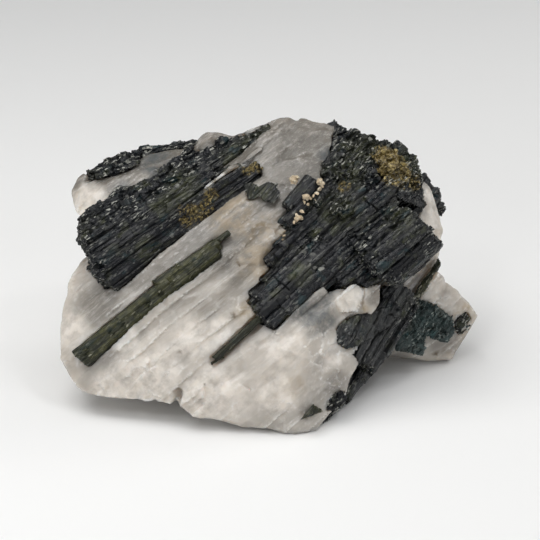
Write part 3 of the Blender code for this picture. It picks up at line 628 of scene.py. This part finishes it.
class SpecimenColours(PropertyGroup):
    """Colours of the minerals."""

    quartz_milk: FloatVectorProperty(name="Quartz milk", description="Milky parts of the quartz", subtype="COLOR", default=(0.55, 0.505, 0.45))
    quartz_clear: FloatVectorProperty(name="Quartz clear", description="Clearer parts of the quartz", subtype="COLOR", default=(0.16, 0.145, 0.123))
    black_dark: FloatVectorProperty(name="Black, deep", description="Deep tone of the black crystals", subtype="COLOR", default=(0.0035, 0.004, 0.0065))
    black_light: FloatVectorProperty(name="Black, light", description="Light tone of the black crystals", subtype="COLOR", default=(0.018, 0.021, 0.0235))
    green: FloatVectorProperty(name="Green", description="Tone of the green crystals", subtype="COLOR", default=(0.030, 0.034, 0.013))
    blue: FloatVectorProperty(name="Blue", description="Tone of the blue crystals", subtype="COLOR", default=(0.060, 0.088, 0.085))


def sizes():
    return bpy.context.scene.specimen_sizes


def colours():
    return bpy.context.scene.specimen_colours


def opaque(colour):
    return tuple(colour) + (1.0,)


# Places on the specimen

BROKEN = (
    # the right bundle's top
    ((72.0, 66.0, 5.0), 6.0), ((78.0, 66.0, 5.0), 7.0), ((84.0, 66.0, 3.0), 8.0), ((88.0, 64.0, 0.0), 7.0),
    ((72.0, 73.0, -3.0), 6.0), ((80.0, 72.0, -3.0), 7.0), ((66.0, 75.0, -2.0), 4.0),
    ((76.0, 47.0, 14.0), 4.0), ((70.0, 57.0, 12.0), 4.0), ((83.0, 54.0, 11.0), 4.0), ((64.0, 49.0, 15.0), 2.5),
    # the left bundle's upper edge, ends and the crust above it
    ((10.0, 55.0, 8.0), 6.0), ((17.0, 58.0, 8.0), 6.0), ((24.0, 62.0, 5.0), 6.0), ((30.0, 66.0, 2.0), 6.0),
    ((38.0, 71.0, -2.0), 5.0), ((6.0, 49.0, 14.0), 4.0), ((9.0, 41.0, 15.0), 4.0), ((46.0, 73.0, -1.0), 5.0),
    ((50.0, 76.0, -2.0), 5.0), ((12.0, 67.0, -6.0), 9.0), ((24.0, 71.5, -9.0), 9.0), ((33.0, 71.5, -8.0), 6.0),
    # the lower bundle's knob, the blue mass and the foot
    ((71.0, 25.0, 17.0), 3.6), ((69.0, 8.0, 16.0), 6.0), ((102.0, 27.5, -12.0), 5.0),
    ((92.0, 29.0, -6.0), 11.0), ((92.0, 39.0, -3.5), 6.0),
    # the long green crystal's broken face and ends
    ((13.0, 24.8, 15.7), 1.3), ((16.0, 27.2, 15.8), 1.3), ((19.0, 29.8, 15.9), 1.3), ((22.0, 32.4, 16.0), 1.3),
    ((25.0, 35.0, 16.0), 1.3), ((28.0, 37.6, 16.0), 1.2), ((6.6, 20.4, 15.5), 2.0), ((28.6, 42.4, 16.0), 2.2),
)
RUST = (
    ((84.0, 65.6, 4.0), 5.4), ((80.6, 70.0, 2.0), 3.4), ((71.0, 62.0, 8.0), 2.0), ((88.6, 63.0, 2.0), 3.0),
    ((35.4, 53.8, 9.0), 2.8), ((33.0, 55.6, 9.0), 2.6), ((37.5, 59.8, 9.0), 2.4), ((36.6, 57.0, 9.0), 2.2),
    ((31.8, 53.2, 10.0), 2.0), ((49.4, 67.6, 5.0), 2.8), ((46.8, 66.0, 6.0), 1.8), ((30.6, 56.0, 9.0), 1.6),
)
MOSS = (
    ((50.0, 74.0, 0.0), 7.0), ((44.0, 70.0, 2.0), 5.0), ((22.0, 46.0, 14.0), 4.5), ((26.0, 57.0, 9.0), 4.0),
    ((31.0, 62.0, 6.0), 6.0), ((76.0, 72.0, -1.0), 6.0), ((88.0, 68.0, 0.0), 6.0), ((70.0, 56.0, 12.0), 7.0),
    ((85.0, 54.0, 10.0), 5.0), ((72.0, 66.0, 5.0), 6.0), ((91.0, 36.0, -3.0), 3.0),
    ((102.0, 27.5, -12.0), 4.0), ((60.0, 40.0, 18.0), 4.0), ((50.0, 60.0, 10.0), 5.0),
) + tuple(
    # both long edges of the long green crystal
    ((4.9 + 0.777 * along + 0.631 * side, 18.9 + 0.631 * along - 0.777 * side, 15.8), 1.9)
    for along in range(3, 43, 3) for side in (-1.7, 1.7)
)
DUSTY = (
    ((80.0, 28.0, 8.0), 7.0), ((71.0, 25.0, 17.0), 5.0), ((78.0, 21.0, 10.0), 6.0), ((86.0, 35.0, 2.0), 5.0),
)
QUARTZ_BEIGE = (
    ((64.0, 52.0, 13.0), 4.0), ((52.0, 49.0, 13.0), 8.0), ((43.0, 55.0, 12.0), 8.0), ((96.0, 49.0, -8.0), 4.0),
    ((50.0, 44.0, 15.0), 8.0), ((47.0, 30.0, 19.0), 5.0), ((101.0, 30.0, -12.0), 4.0), ((84.0, 32.0, 6.0), 4.0),
    ((75.6, 31.5, 13.0), 2.4), ((58.0, 12.0, 22.0), 4.0), ((102.0, 24.6, -13.0), 3.0), ((92.0, 40.0, -7.0), 4.0),
)
QUARTZ_GREY = (
    ((59.0, 33.0, 18.5), 7.0), ((64.5, 29.0, 19.0), 6.5), ((67.0, 34.0, 16.0), 4.0), ((54.0, 27.5, 20.0), 3.5),
    ((37.0, 61.0, 8.0), 3.0), ((24.0, 67.5, -3.0), 6.0), ((16.0, 61.0, 0.5), 3.0), ((66.5, 70.0, 1.0), 3.5),
)
# whiter milky quartz, and painted light: the lit back right made brighter and a thin painted highlight line between the
# upper left bars
QUARTZ_PALE_AND_HIGHLIT = (
    ((7.4, 57.4, -1.0), 7.0), ((16.0, 24.0, 15.0), 5.0), ((3.0, 26.0, 9.0), 6.0), ((22.0, 14.0, 18.0), 12.0),
    ((38.0, 10.0, 21.0), 11.0), ((33.0, 24.0, 18.0), 7.0), ((56.0, 22.0, 22.0), 7.0), ((54.0, 10.0, 22.0), 8.0),
    ((40.0, 26.0, 18.0), 4.0), ((72.0, 34.0, 15.0), 5.0), ((94.0, 50.0, -7.0), 7.0), ((91.0, 38.0, -5.0), 6.0),
    ((47.0, 78.0, -3.0), 3.0), ((69.0, 20.0, 18.0), 4.0), ((10.0, 50.0, 2.0), 5.0), ((92.0, 58.0, -7.0), 5.0),
    ((95.0, 52.0, -8.0), 6.0), ((74.0, 35.5, 14.0), 4.0),
    # a thin painted highlight line between the upper left bars
    ((37.0, 62.0, 10.0), 1.7), ((40.0, 64.5, 9.0), 1.6),
    ((12.0, 12.0, 16.0), 6.0), ((93.0, 56.0, -6.0), 6.0),
)
QUARTZ_CLEARER = (
    ((15.0, 23.0, 15.0), 10.0), ((9.0, 33.0, 12.0), 9.0), ((53.0, 9.0, 21.0), 6.0), ((64.0, 30.0, 18.0), 5.0),
    ((24.0, 40.0, 13.0), 9.0), ((98.0, 24.0, -12.0), 9.0), ((78.0, 34.0, 12.0), 3.0), ((70.0, 12.0, 16.0), 5.0),
)
QUARTZ_SMOOTH = (
    ((5.0, 30.0, 10.0), 10.0), ((4.0, 20.0, 10.0), 7.0), ((60.0, 16.0, 21.0), 13.0), ((66.0, 26.0, 18.0), 8.0),
    ((100.0, 28.0, -12.0), 8.0), ((96.0, 52.0, -8.0), 8.0), ((51.0, 49.0, 13.0), 6.0),
)
QUARTZ_BROKEN = (
    ((66.0, 20.0, 20.0), 8.0), ((70.0, 12.0, 16.0), 6.0), ((58.0, 6.0, 20.0), 7.0), ((46.0, 8.0, 21.0), 6.0),
    ((34.0, 8.0, 20.0), 5.0), ((74.0, 30.0, 14.0), 4.0), ((100.0, 28.0, -12.0), 5.0), ((22.0, 9.0, 17.0), 4.0),
)
QUARTZ_SPECKS = (((43.4, 29.6, 18.9), 0.8), ((93.8, 20.2, -14.4), 0.9), ((30.0, 20.5, 19.2), 0.45), ((36.0, 12.4, 21.0), 0.4))

# Parts of the quartz that stand out thinly between and over the crystals, as corners of convex lumps
QUARTZ_LUMPS = (
    (
        (35.6, 60.8, 10.2), (36.4, 62.0, 10.0), (49.6, 72.4, 5.0), (51.0, 71.6, 4.8),
        (44.0, 67.0, 8.2), (38.0, 62.0, 2.0), (50.0, 71.0, -2.0),
    ),
    (
        (52.6, 24.8, 22.4), (54.4, 24.4, 21.6), (58.2, 30.6, 20.6), (65.8, 37.0, 16.6),
        (67.0, 35.4, 16.2), (54.0, 26.0, 17.0), (66.0, 35.0, 12.0),
    ),
    (
        (69.0, 34.0, 16.4), (72.6, 37.4, 14.6), (74.6, 37.6, 13.6), (76.2, 35.6, 13.6),
        (74.2, 30.4, 15.4), (70.4, 30.4, 17.0), (72.0, 34.0, 9.0),
    ),
    (
        (76.6, 36.9, 12.6), (80.3, 37.6, 10.8), (79.4, 32.6, 11.2), (77.8, 29.8, 12.2),
        (76.0, 31.0, 13.2), (78.0, 34.0, 7.0),
    ),
    (
        (60.0, 79.0, -4.0), (68.7, 76.8, -3.4), (67.6, 72.0, -0.8), (65.6, 66.0, 2.2), (62.0, 69.0, 1.6),
        (59.0, 76.0, -0.6), (66.4, 74.0, -10.0), (60.0, 77.0, -10.0),
    ),
    (
        (104.2, 29.5, -12.8), (102.6, 28.0, -12.2), (97.9, 18.7, -13.8), (96.8, 19.2, -13.0),
        (97.0, 25.0, -12.4), (93.0, 18.8, -14.6), (103.8, 29.2, -19.0), (97.6, 18.8, -19.0),
    ),
)
# Flat broken faces on the quartz: a place on the face, the way it faces as seen, and its reach
QUARTZ_FACES = (
    ((50.0, 70.0, 2.9), (-0.12, 0.42, 0.9), 9.0),
    ((60.0, 72.0, 2.2), (0.06, 0.44, 0.9), 9.0),
    ((49.0, 52.0, 12.3), (-0.06, 0.3, 0.95), 10.0),
    ((66.0, 14.0, 20.4), (0.3, -0.12, 0.94), 9.0),
    ((73.0, 18.0, 15.6), (0.66, 0.02, 0.75), 6.0),
    ((57.0, 14.0, 22.1), (-0.05, -0.03, 1.0), 8.0),
    ((44.0, 6.0, 20.4), (0.0, -0.3, 0.95), 9.0),
    ((101.2, 24.0, -13.0), (0.861, -0.508, 0.02), 11.0),
    ((98.6, 34.6, -10.6), (0.1, 0.6, 0.8), 6.0),
    ((12.0, 62.0, -0.6), (-0.2, 0.4, 0.9), 7.0),
    ((27.0, 69.0, -5.4), (0.1, 0.5, 0.86), 6.0),
)


FELDSPAR_BITS = (
    ((58.0, 62.9, 10.6), 0.7), ((59.4, 64.2, 10.4), 0.8), ((64.9, 61.2, 12.0), 0.8), ((64.2, 60.2, 12.4), 0.7),
    ((63.4, 59.6, 13.0), 0.6), ((62.4, 59.0, 13.4), 0.8), ((61.0, 58.0, 14.2), 0.7), ((62.0, 57.4, 14.0), 0.5),
    ((60.6, 55.6, 14.8), 0.8), ((59.4, 53.4, 15.2), 0.9), ((58.6, 53.0, 15.4), 0.6), ((60.4, 54.2, 15.0), 0.7),
    ((65.2, 63.4, 11.4), 0.7), ((56.0, 49.6, 15.6), 0.6), ((55.8, 48.6, 15.8), 0.5), ((63.8, 58.4, 13.6), 0.4),
)


BLACK_PIECES = (
    # node, growth, shares of the grid spacing, pitch, relief and chip size, and the faces' way out
    ("right_tourmaline_bundle", RIGHT_GROWTH, 1.0, 1.0, 1.0, 1.15, 0.22),
    ("left_tourmaline_bundle", LEFT_GROWTH, 0.9, 1.0, 1.0, 1.25, 0.22),
    ("left_top_tourmaline", SHOULDER_GROWTH, 0.8, 0.7, 0.8, 1.3, -0.2),
    ("lower_tourmaline_bundle", LOWER_GROWTH, 0.85, 0.9, 0.8, 0.8, 0.22),
    ("back_tourmaline_bundle", BACK_GROWTH, 1.0, 1.2, 0.8, 1.0, 0.22),
    ("small_black_crystal", SMALL_GROWTH, 0.55, 0.5, 0.16, 0.2, 0.22),
    ("dark_chip", SMALL_GROWTH, 0.6, 0.9, 0.5, 0.7, 0.1),
    ("lower_edge_tourmaline", LOWER_GROWTH, 0.6, 0.7, 0.6, 1.2, 0.15),
    ("foot_tourmaline_stub", LOWER_GROWTH, 0.6, 0.7, 0.6, 0.6, 0.22),
    ("back_right_tourmaline", LOWER_GROWTH, 0.7, 0.8, 0.6, 0.9, 0.22),
)
GREEN_PIECES = (
    # node, growth, shares of the grid spacing, pitch and relief, and how far the faces are moved out
    ("long_green_crystal", GREEN_GROWTH, 0.65, 0.8, 0.2, 0.22),
    ("short_green_crystal", SHORT_GREEN_GROWTH, 0.5, 0.5, 0.14, -0.34),
    ("edge_green_crystal", EDGE_GROWTH, 0.6, 0.6, 0.5, -0.35),
    ("olive_wedge_crystal", GREEN_GROWTH, 0.55, 0.5, 0.2, 0.0),
)


class SPECIMEN_OT_quartz(Operator):
    """Builds the milky quartz that holds the crystals"""

    bl_idname = "specimen.quartz"
    bl_label = "Quartz matrix"

    def execute(self, context):
        size = sizes()
        piece = on_grid("quartz_surface", "quartz_matrix", size.quartz_grid, QUARTZ_LUMPS)
        points, normals = read_points(piece), read_normals(piece)
        keep_crystal_place(piece, points, GREEN_GROWTH)
        along, across, deep = crystal_place(points, GREEN_GROWTH)
        facing = fade(normals @ np.array(TO_EYE), 0.1, 0.7)
        upper = fade(points[:, 2] + 4.0 * drift(points, 14.0, size.seed), 20.0, 42.0)
        stretch = np.stack([0.55 * along, across, deep], 1)
        face, face_gap, way = grains(stretch + 0.8 * drift(points, 4.0, size.seed + 1)[:, None], 9.5, size.seed + 2)
        inside = 1.0 - np.exp(-face_gap / 1.6)
        height = inside * (leaning(face, way, 0.09, size.seed + 3) + 0.3 * (scatter(face, size.seed + 4) - 0.5))
        ledge, ledge_gap, ledge_way = grains(stretch, 3.0, size.seed + 5)
        broken = near_places(points, QUARTZ_BROKEN) + fade(drift(points, 7.0, size.seed + 6), 0.3, 0.8)
        broken = np.clip(broken, 0.0, 1.0)
        height += broken * (leaning(ledge, ledge_way, 0.2, size.seed + 7) + 0.2 * (scatter(ledge, size.seed + 8) - 0.5))
        wander = across + 0.9 * drift(points, 18.0, size.seed + 9) + 0.12 * drift(points, 3.0, size.seed + 10)
        turn = wander / size.flute_pitch
        part = turn - np.floor(turn)
        strength = (0.2 + 0.8 * fade(drift(points, 11.0, size.seed + 11), -0.2, 0.5)) * facing * (1.0 - 0.6 * upper)
        strength *= 1.0 - 0.9 * near_places(points, QUARTZ_SMOOTH)
        height += size.flute_relief * (part * part - 0.4) * strength
        fine_part = 2.7 * turn - np.floor(2.7 * turn)
        fine = fade(drift(points, 6.0, size.seed + 16), -0.1, 0.5) * facing
        height += 0.15 * (fine_part - 0.5) * fine
        rings = np.linalg.norm(way + 6.0, axis=1)
        height += 0.035 * np.sin(2.0 * np.pi * rings / 1.5) * fade(scatter(face, size.seed + 12), 0.5, 0.6)
        height += 0.25 * drift(points, 2.6, size.seed + 13) * (1.0 - 0.7 * facing)
        height += 0.07 * drift(points, 1.1, size.seed + 14)
        height -= 2.4 * near_line(points, (28.6, 6.4, 19.0), (29.4, 10.4, 19.4), 1.4)
        # where the painted highlight goes: flute ridges, ledge edges, fine flutes and face edges
        crest = np.maximum(fade(part, 0.85, 1.0) * strength, broken * np.exp(-ledge_gap / 0.14))
        crest = np.maximum(crest, 0.6 * fade(fine_part, 0.84, 1.0) * fine)
        mask(piece, "crest", np.maximum(crest, 0.2 * np.exp(-face_gap / 0.3)))
        # pale places: whiter quartz, partly painted light on the lit back right and a painted highlight line
        pale = near_places(points, QUARTZ_PALE_AND_HIGHLIT)
        mask(piece, "clear", np.maximum(upper, 0.6 * near_places(points, QUARTZ_CLEARER)) * (1.0 - pale))
        mask(piece, "face_tone", scatter(face, size.seed + 15))
        mask(piece, "beige", near_places(points, QUARTZ_BEIGE))
        mask(piece, "grey_cloud", near_places(points, QUARTZ_GREY))
        mask(piece, "pale", pale)
        mask(piece, "shade_side", fade(-normals[:, 2], 0.1, 0.8))
        needle = near_line(points, (43.4, 45.4, 15.4), (44.9, 42.0, 16.0), 0.42)
        mask(piece, "needle", np.maximum(needle, near_places(points, QUARTZ_SPECKS)))
        points = points + normals * height[:, None]
        for place, way_out, reach in QUARTZ_FACES:
            points = cut_flat(points, place, way_out, reach)
        write_points(piece, points)
        finish_piece(piece, "quartz_matrix", quartz_material(colours()), crisp=30.0)
        return {"FINISHED"}


class SPECIMEN_OT_black(Operator):
    """Builds the black tourmaline bundles and chips"""

    bl_idname = "specimen.black"
    bl_label = "Black tourmaline"

    def execute(self, context):
        size, tone = sizes(), colours()
        # the last colour given is the painted glint colour, also used for the painted streaks
        material = crystal_material(
            "black_tourmaline", opaque(tone.black_dark), opaque(tone.black_light),
            (0.05, 0.054, 0.026, 1.0), (0.010, 0.026, 0.030, 1.0), 0.15, (0.46, 0.46, 0.41, 1.0),
        )
        for number, (node, axis, spacing, pitch, relief, chip, swell) in enumerate(BLACK_PIECES):
            piece = on_grid(node + "_surface", node, spacing * size.crystal_grid)
            carve_crystal(
                piece, axis, pitch * size.column_pitch, relief * size.column_relief, chip,
                size.seed + 100 * (number + 1), swell,
            )
            finish_piece(piece, node, material)
        return {"FINISHED"}


class SPECIMEN_OT_blue(Operator):
    """Builds the blue-green lump over the foot"""

    bl_idname = "specimen.blue"
    bl_label = "Blue tourmaline"

    def execute(self, context):
        size, tone = sizes(), colours()
        # the last colour given is the painted glint colour, also used for the painted streaks
        material = crystal_material(
            "blue_tourmaline", opaque(0.5 * c for c in tone.blue), opaque(tone.blue),
            (0.08, 0.085, 0.07, 1.0), (0.032, 0.072, 0.072, 1.0), 0.24, (0.24, 0.27, 0.25, 1.0),
        )
        piece = on_grid("blue_tourmaline_surface", "blue_tourmaline_mass", 0.8 * size.crystal_grid)
        carve_crystal(
            piece, LOWER_GROWTH, 0.8 * size.column_pitch, 0.9 * size.column_relief, 1.0,
            size.seed + 1200, 0.22,
        )
        finish_piece(piece, "blue_tourmaline_mass", material)
        return {"FINISHED"}


class SPECIMEN_OT_green(Operator):
    """Builds the olive green prisms"""

    bl_idname = "specimen.green"
    bl_label = "Green crystals"

    def execute(self, context):
        size, tone = sizes(), colours()
        # the last colour given is the painted glint colour, also used for the painted streaks
        material = crystal_material(
            "green_tourmaline", opaque(0.45 * c for c in tone.green), opaque(tone.green),
            (0.078, 0.077, 0.030, 1.0), (0.020, 0.028, 0.020, 1.0), 0.18, (0.40, 0.39, 0.30, 1.0), lines=4.0,
        )
        for number, (node, axis, spacing, pitch, relief, swell) in enumerate(GREEN_PIECES):
            piece = on_grid(node + "_surface", node, spacing * size.crystal_grid)
            carve_crystal(
                piece, axis, pitch * size.column_pitch, relief * size.column_relief, 0.5,
                size.seed + 1300 + 100 * number, swell,
            )
            finish_piece(piece, node, material)
        return {"FINISHED"}


def broken_bits(name, places, sizes_mm, material, seed, flat=1.0):
    """Small angular crystals, each one at a place and turned its own way."""
    chance = random.Random(seed)
    body = bmesh.new()
    for place, size in zip(places, sizes_mm):
        turn = Euler([chance.uniform(0.0, math.tau) for _ in range(3)]).to_matrix()
        corners = []
        for _ in range(9):
            spot = Vector([chance.uniform(-1.0, 1.0) for _ in range(3)]).normalized() * size
            corners.append(Vector(place) + turn @ Vector((spot.x, spot.y, spot.z * flat)))
        add_lump(body, corners)
    bmesh.ops.bevel(
        body, geom=body.edges[:], offset=0.05 * MM, offset_type="OFFSET", affect="EDGES",
        segments=1, profile=0.5, material=-1,
    )
    bmesh.ops.recalc_face_normals(body, faces=body.faces)
    mesh = bpy.data.meshes.new(name)
    body.to_mesh(mesh)
    body.free()
    piece = bpy.data.objects.new(name, mesh)
    bpy.context.scene.collection.objects.link(piece)
    piece.data.materials.append(material)
    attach(piece, BODY)
    return piece


def places_on(piece, zones, count, seed):
    """Points of the piece's surface that face the eye inside the zones, drawn by chance."""
    points, normals = read_points(piece), read_normals(piece)
    near = near_places(points, zones) * (normals @ np.array(TO_EYE) > 0.1)
    chance = np.random.default_rng(seed)
    share = near / near.sum()
    return points[chance.choice(len(points), count, replace=False, p=share)]


class SPECIMEN_OT_small_grains(Operator):
    """Builds the rusty mica and the feldspar grains"""

    bl_idname = "specimen.small_grains"
    bl_label = "Mica and feldspar"

    def execute(self, context):
        size = sizes()
        mica = grainy_material(
            "rusty_mica", (0.018, 0.016, 0.008, 1.0), (0.125, 0.086, 0.024, 1.0), (0.48, 0.38, 0.16, 1.0), 0.3, 2.8,
        )
        feldspar = grainy_material(
            "feldspar", (0.40, 0.30, 0.19, 1.0), (0.62, 0.50, 0.34, 1.0), (0.80, 0.73, 0.58, 1.0), 0.4, 1.6,
        )
        cluster = on_grid("rusty_mica_surface", "rusty_mica_cluster", 0.8 * size.crystal_grid)
        points, normals = read_points(cluster), read_normals(cluster)
        height = np.full(len(points), 0.1)
        for number, lump in enumerate((1.8, 0.7)):
            owner, gap, way = grains(points, lump, size.seed + 20 + 10 * number)
            height += 0.5 * lump * (scatter(owner, size.seed + 25) - 0.5) + leaning(owner, way, 0.5, size.seed + 26)
            height -= 0.15 * lump * np.exp(-gap / (0.12 * lump))
        write_points(cluster, points + normals * np.clip(height, -1.2, 0.9)[:, None])
        finish_piece(cluster, "rusty_mica_cluster", mica)
        chance = random.Random(size.seed)
        for name, on, count in (
            ("mica_flakes_right", "right_tourmaline_bundle_surface", 170),
            ("mica_flakes_left", "left_tourmaline_bundle_surface", 150),
        ):
            spots = places_on(bpy.data.objects[on], RUST, count, size.seed)
            widths = [chance.uniform(0.25, 0.75) for _ in spots]
            broken_bits(name, spots, widths, mica, size.seed, flat=0.45)
        for node in sorted(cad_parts):
            if node.startswith("feldspar_grain"):
                piece = on_grid(node + "_surface", node, 0.7 * size.crystal_grid)
                points, normals = read_points(piece), read_normals(piece)
                owner, gap, way = grains(points, 1.0, size.seed + 60)
                height = 0.1 + leaning(owner, way, 0.5, size.seed + 61) - 0.1 * np.exp(-gap / 0.1)
                write_points(piece, points + normals * height[:, None])
                finish_piece(piece, node, feldspar)
        spots = [seen(*place) for place, width in FELDSPAR_BITS]
        widths = [width for place, width in FELDSPAR_BITS]
        broken_bits(
            "feldspar_bits", spots, widths, feldspar, size.seed + 5,
            flat=0.6,
        )
        return {"FINISHED"}


class SPECIMEN_OT_studio(Operator):
    """Builds the pale floor, the soft lights and the camera"""

    bl_idname = "specimen.studio"
    bl_label = "Studio"

    def execute(self, context):
        body = bmesh.new()
        depth, rise, radius = 0.75, 1.1, 0.45
        start = body.verts.new((-1.6, -1.3, 0.0))
        last = body.verts.new((-1.6, depth, 0.0))
        body.edges.new((start, last))
        bmesh.ops.spin(
            body, geom=[last], cent=(-1.6, depth, radius), axis=(1.0, 0.0, 0.0),
            angle=math.radians(90.0), steps=24, use_merge=False,
        )
        body.verts.ensure_lookup_table()
        top = max(body.verts, key=lambda vertex: (vertex.co.z, vertex.co.y))
        end = body.verts.new((-1.6, top.co.y, rise))
        body.edges.new((top, end))
        swept = bmesh.ops.extrude_edge_only(body, edges=body.edges[:])
        moved = [g for g in swept["geom"] if isinstance(g, bmesh.types.BMVert)]
        bmesh.ops.translate(body, verts=moved, vec=(3.2, 0.0, 0.0))
        bmesh.ops.recalc_face_normals(body, faces=body.faces)
        mesh = bpy.data.meshes.new("studio_floor")
        body.to_mesh(mesh)
        body.free()
        mesh.shade_smooth()
        floor = bpy.data.objects.new("studio_floor", mesh)
        bpy.context.scene.collection.objects.link(floor)
        made, nodes, links, shader = new_material("studio_paper")
        shader.inputs["Base Color"].default_value = (0.86, 0.86, 0.855, 1.0)
        shader.inputs["Roughness"].default_value = 0.85
        floor.data.materials.append(made)
        for name, place, aim, size, power, tone in (
            ("tent_top", (0.06, -0.22, 1.1), (0.06, -0.22, 0.0), 1.5, 5.5, (1.0, 1.0, 1.0)),
            ("overhead_softbox", (-0.16, -0.04, 0.42), (-0.04, -0.04, 0.0), 0.3, 0.86, (1.0, 0.99, 0.97)),
            ("back_right_softbox", (0.5, 0.22, 0.34), (0.03, 0.0, 0.03), 0.2, 0.75, (1.0, 0.985, 0.96)),
            ("left_spark", (-0.16, -0.36, 0.42), (0.0, 0.0, 0.03), 0.05, 0.22, (1.0, 1.0, 1.0)),
            ("right_spark", (0.22, -0.2, 0.5), (0.0, 0.0, 0.03), 0.05, 0.22, (1.0, 1.0, 1.0)),
            ("front_softbox", (-0.30, -0.64, 0.31), (0.0, 0.0, 0.03), 0.22, 0.7, (1.0, 1.0, 1.0)),
            ("left_strip", (-0.62, -0.16, 0.24), (0.0, 0.0, 0.03), 0.16, 0.36, (0.98, 0.99, 1.0)),
            ("right_softbox", (0.5, -0.42, 0.36), (0.02, 0.0, 0.03), 0.2, 0.5, (0.97, 0.98, 1.0)),
        ):
            data = bpy.data.lights.new(name, "AREA")
            data.shape = "SQUARE"
            data.size = size
            data.energy = power
            data.color = tone
            lamp = bpy.data.objects.new(name, data)
            bpy.context.scene.collection.objects.link(lamp)
            lamp.location = place
            lamp.rotation_euler = (Vector(aim) - Vector(place)).to_track_quat("-Z", "Y").to_euler()
        world = bpy.data.worlds.new("studio_air")
        world.use_nodes = True
        world.node_tree.nodes["Background"].inputs["Color"].default_value = (0.9, 0.93, 0.96, 1.0)
        world.node_tree.nodes["Background"].inputs["Strength"].default_value = 0.13
        context.scene.world = world
        context.scene.view_settings.view_transform = "Standard"
        lens = bpy.data.cameras.new("sight")
        lens.lens = SIGHT_LENS
        lens.sensor_width = SENSOR_WIDTH
        lens.clip_start = 0.01
        eye = bpy.data.objects.new("sight", lens)
        bpy.context.scene.collection.objects.link(eye)
        eye.location = (ORIGIN_SHIFT + TO_EYE * SIGHT_DISTANCE) * MM
        eye.rotation_euler = (-TO_EYE).to_track_quat("-Z", "Y").to_euler()
        context.scene.camera = eye
        return {"FINISHED"}


class SPECIMEN_PT_builder(Panel):
    """Lists the pieces and their settings"""

    bl_idname = "SPECIMEN_PT_builder"
    bl_label = "Tourmaline in matrix"
    bl_space_type = "VIEW_3D"
    bl_region_type = "UI"
    bl_category = "Tourmaline"

    def draw(self, context):
        for group in (context.scene.specimen_sizes, context.scene.specimen_colours):
            for name in group.bl_rna.properties.keys():
                if name not in ("rna_type", "name"):
                    self.layout.prop(group, name)
        for operator in OPERATORS:
            self.layout.operator(operator.bl_idname)


OPERATORS = (
    SPECIMEN_OT_quartz, SPECIMEN_OT_black, SPECIMEN_OT_blue, SPECIMEN_OT_green,
    SPECIMEN_OT_small_grains, SPECIMEN_OT_studio,
)
CLASSES = (SpecimenSizes, SpecimenColours) + OPERATORS + (SPECIMEN_PT_builder,)


def register():
    for made in CLASSES:
        bpy.utils.register_class(made)
    bpy.types.Scene.specimen_sizes = PointerProperty(type=SpecimenSizes)
    bpy.types.Scene.specimen_colours = PointerProperty(type=SpecimenColours)


def unregister():
    del bpy.types.Scene.specimen_colours
    del bpy.types.Scene.specimen_sizes
    for made in reversed(CLASSES):
        bpy.utils.unregister_class(made)


def main():
    register()
    bpy.ops.specimen.quartz()
    bpy.ops.specimen.black()
    bpy.ops.specimen.blue()
    bpy.ops.specimen.green()
    bpy.ops.specimen.small_grains()
    bpy.ops.specimen.studio()


if __name__ == "__main__":
    main()
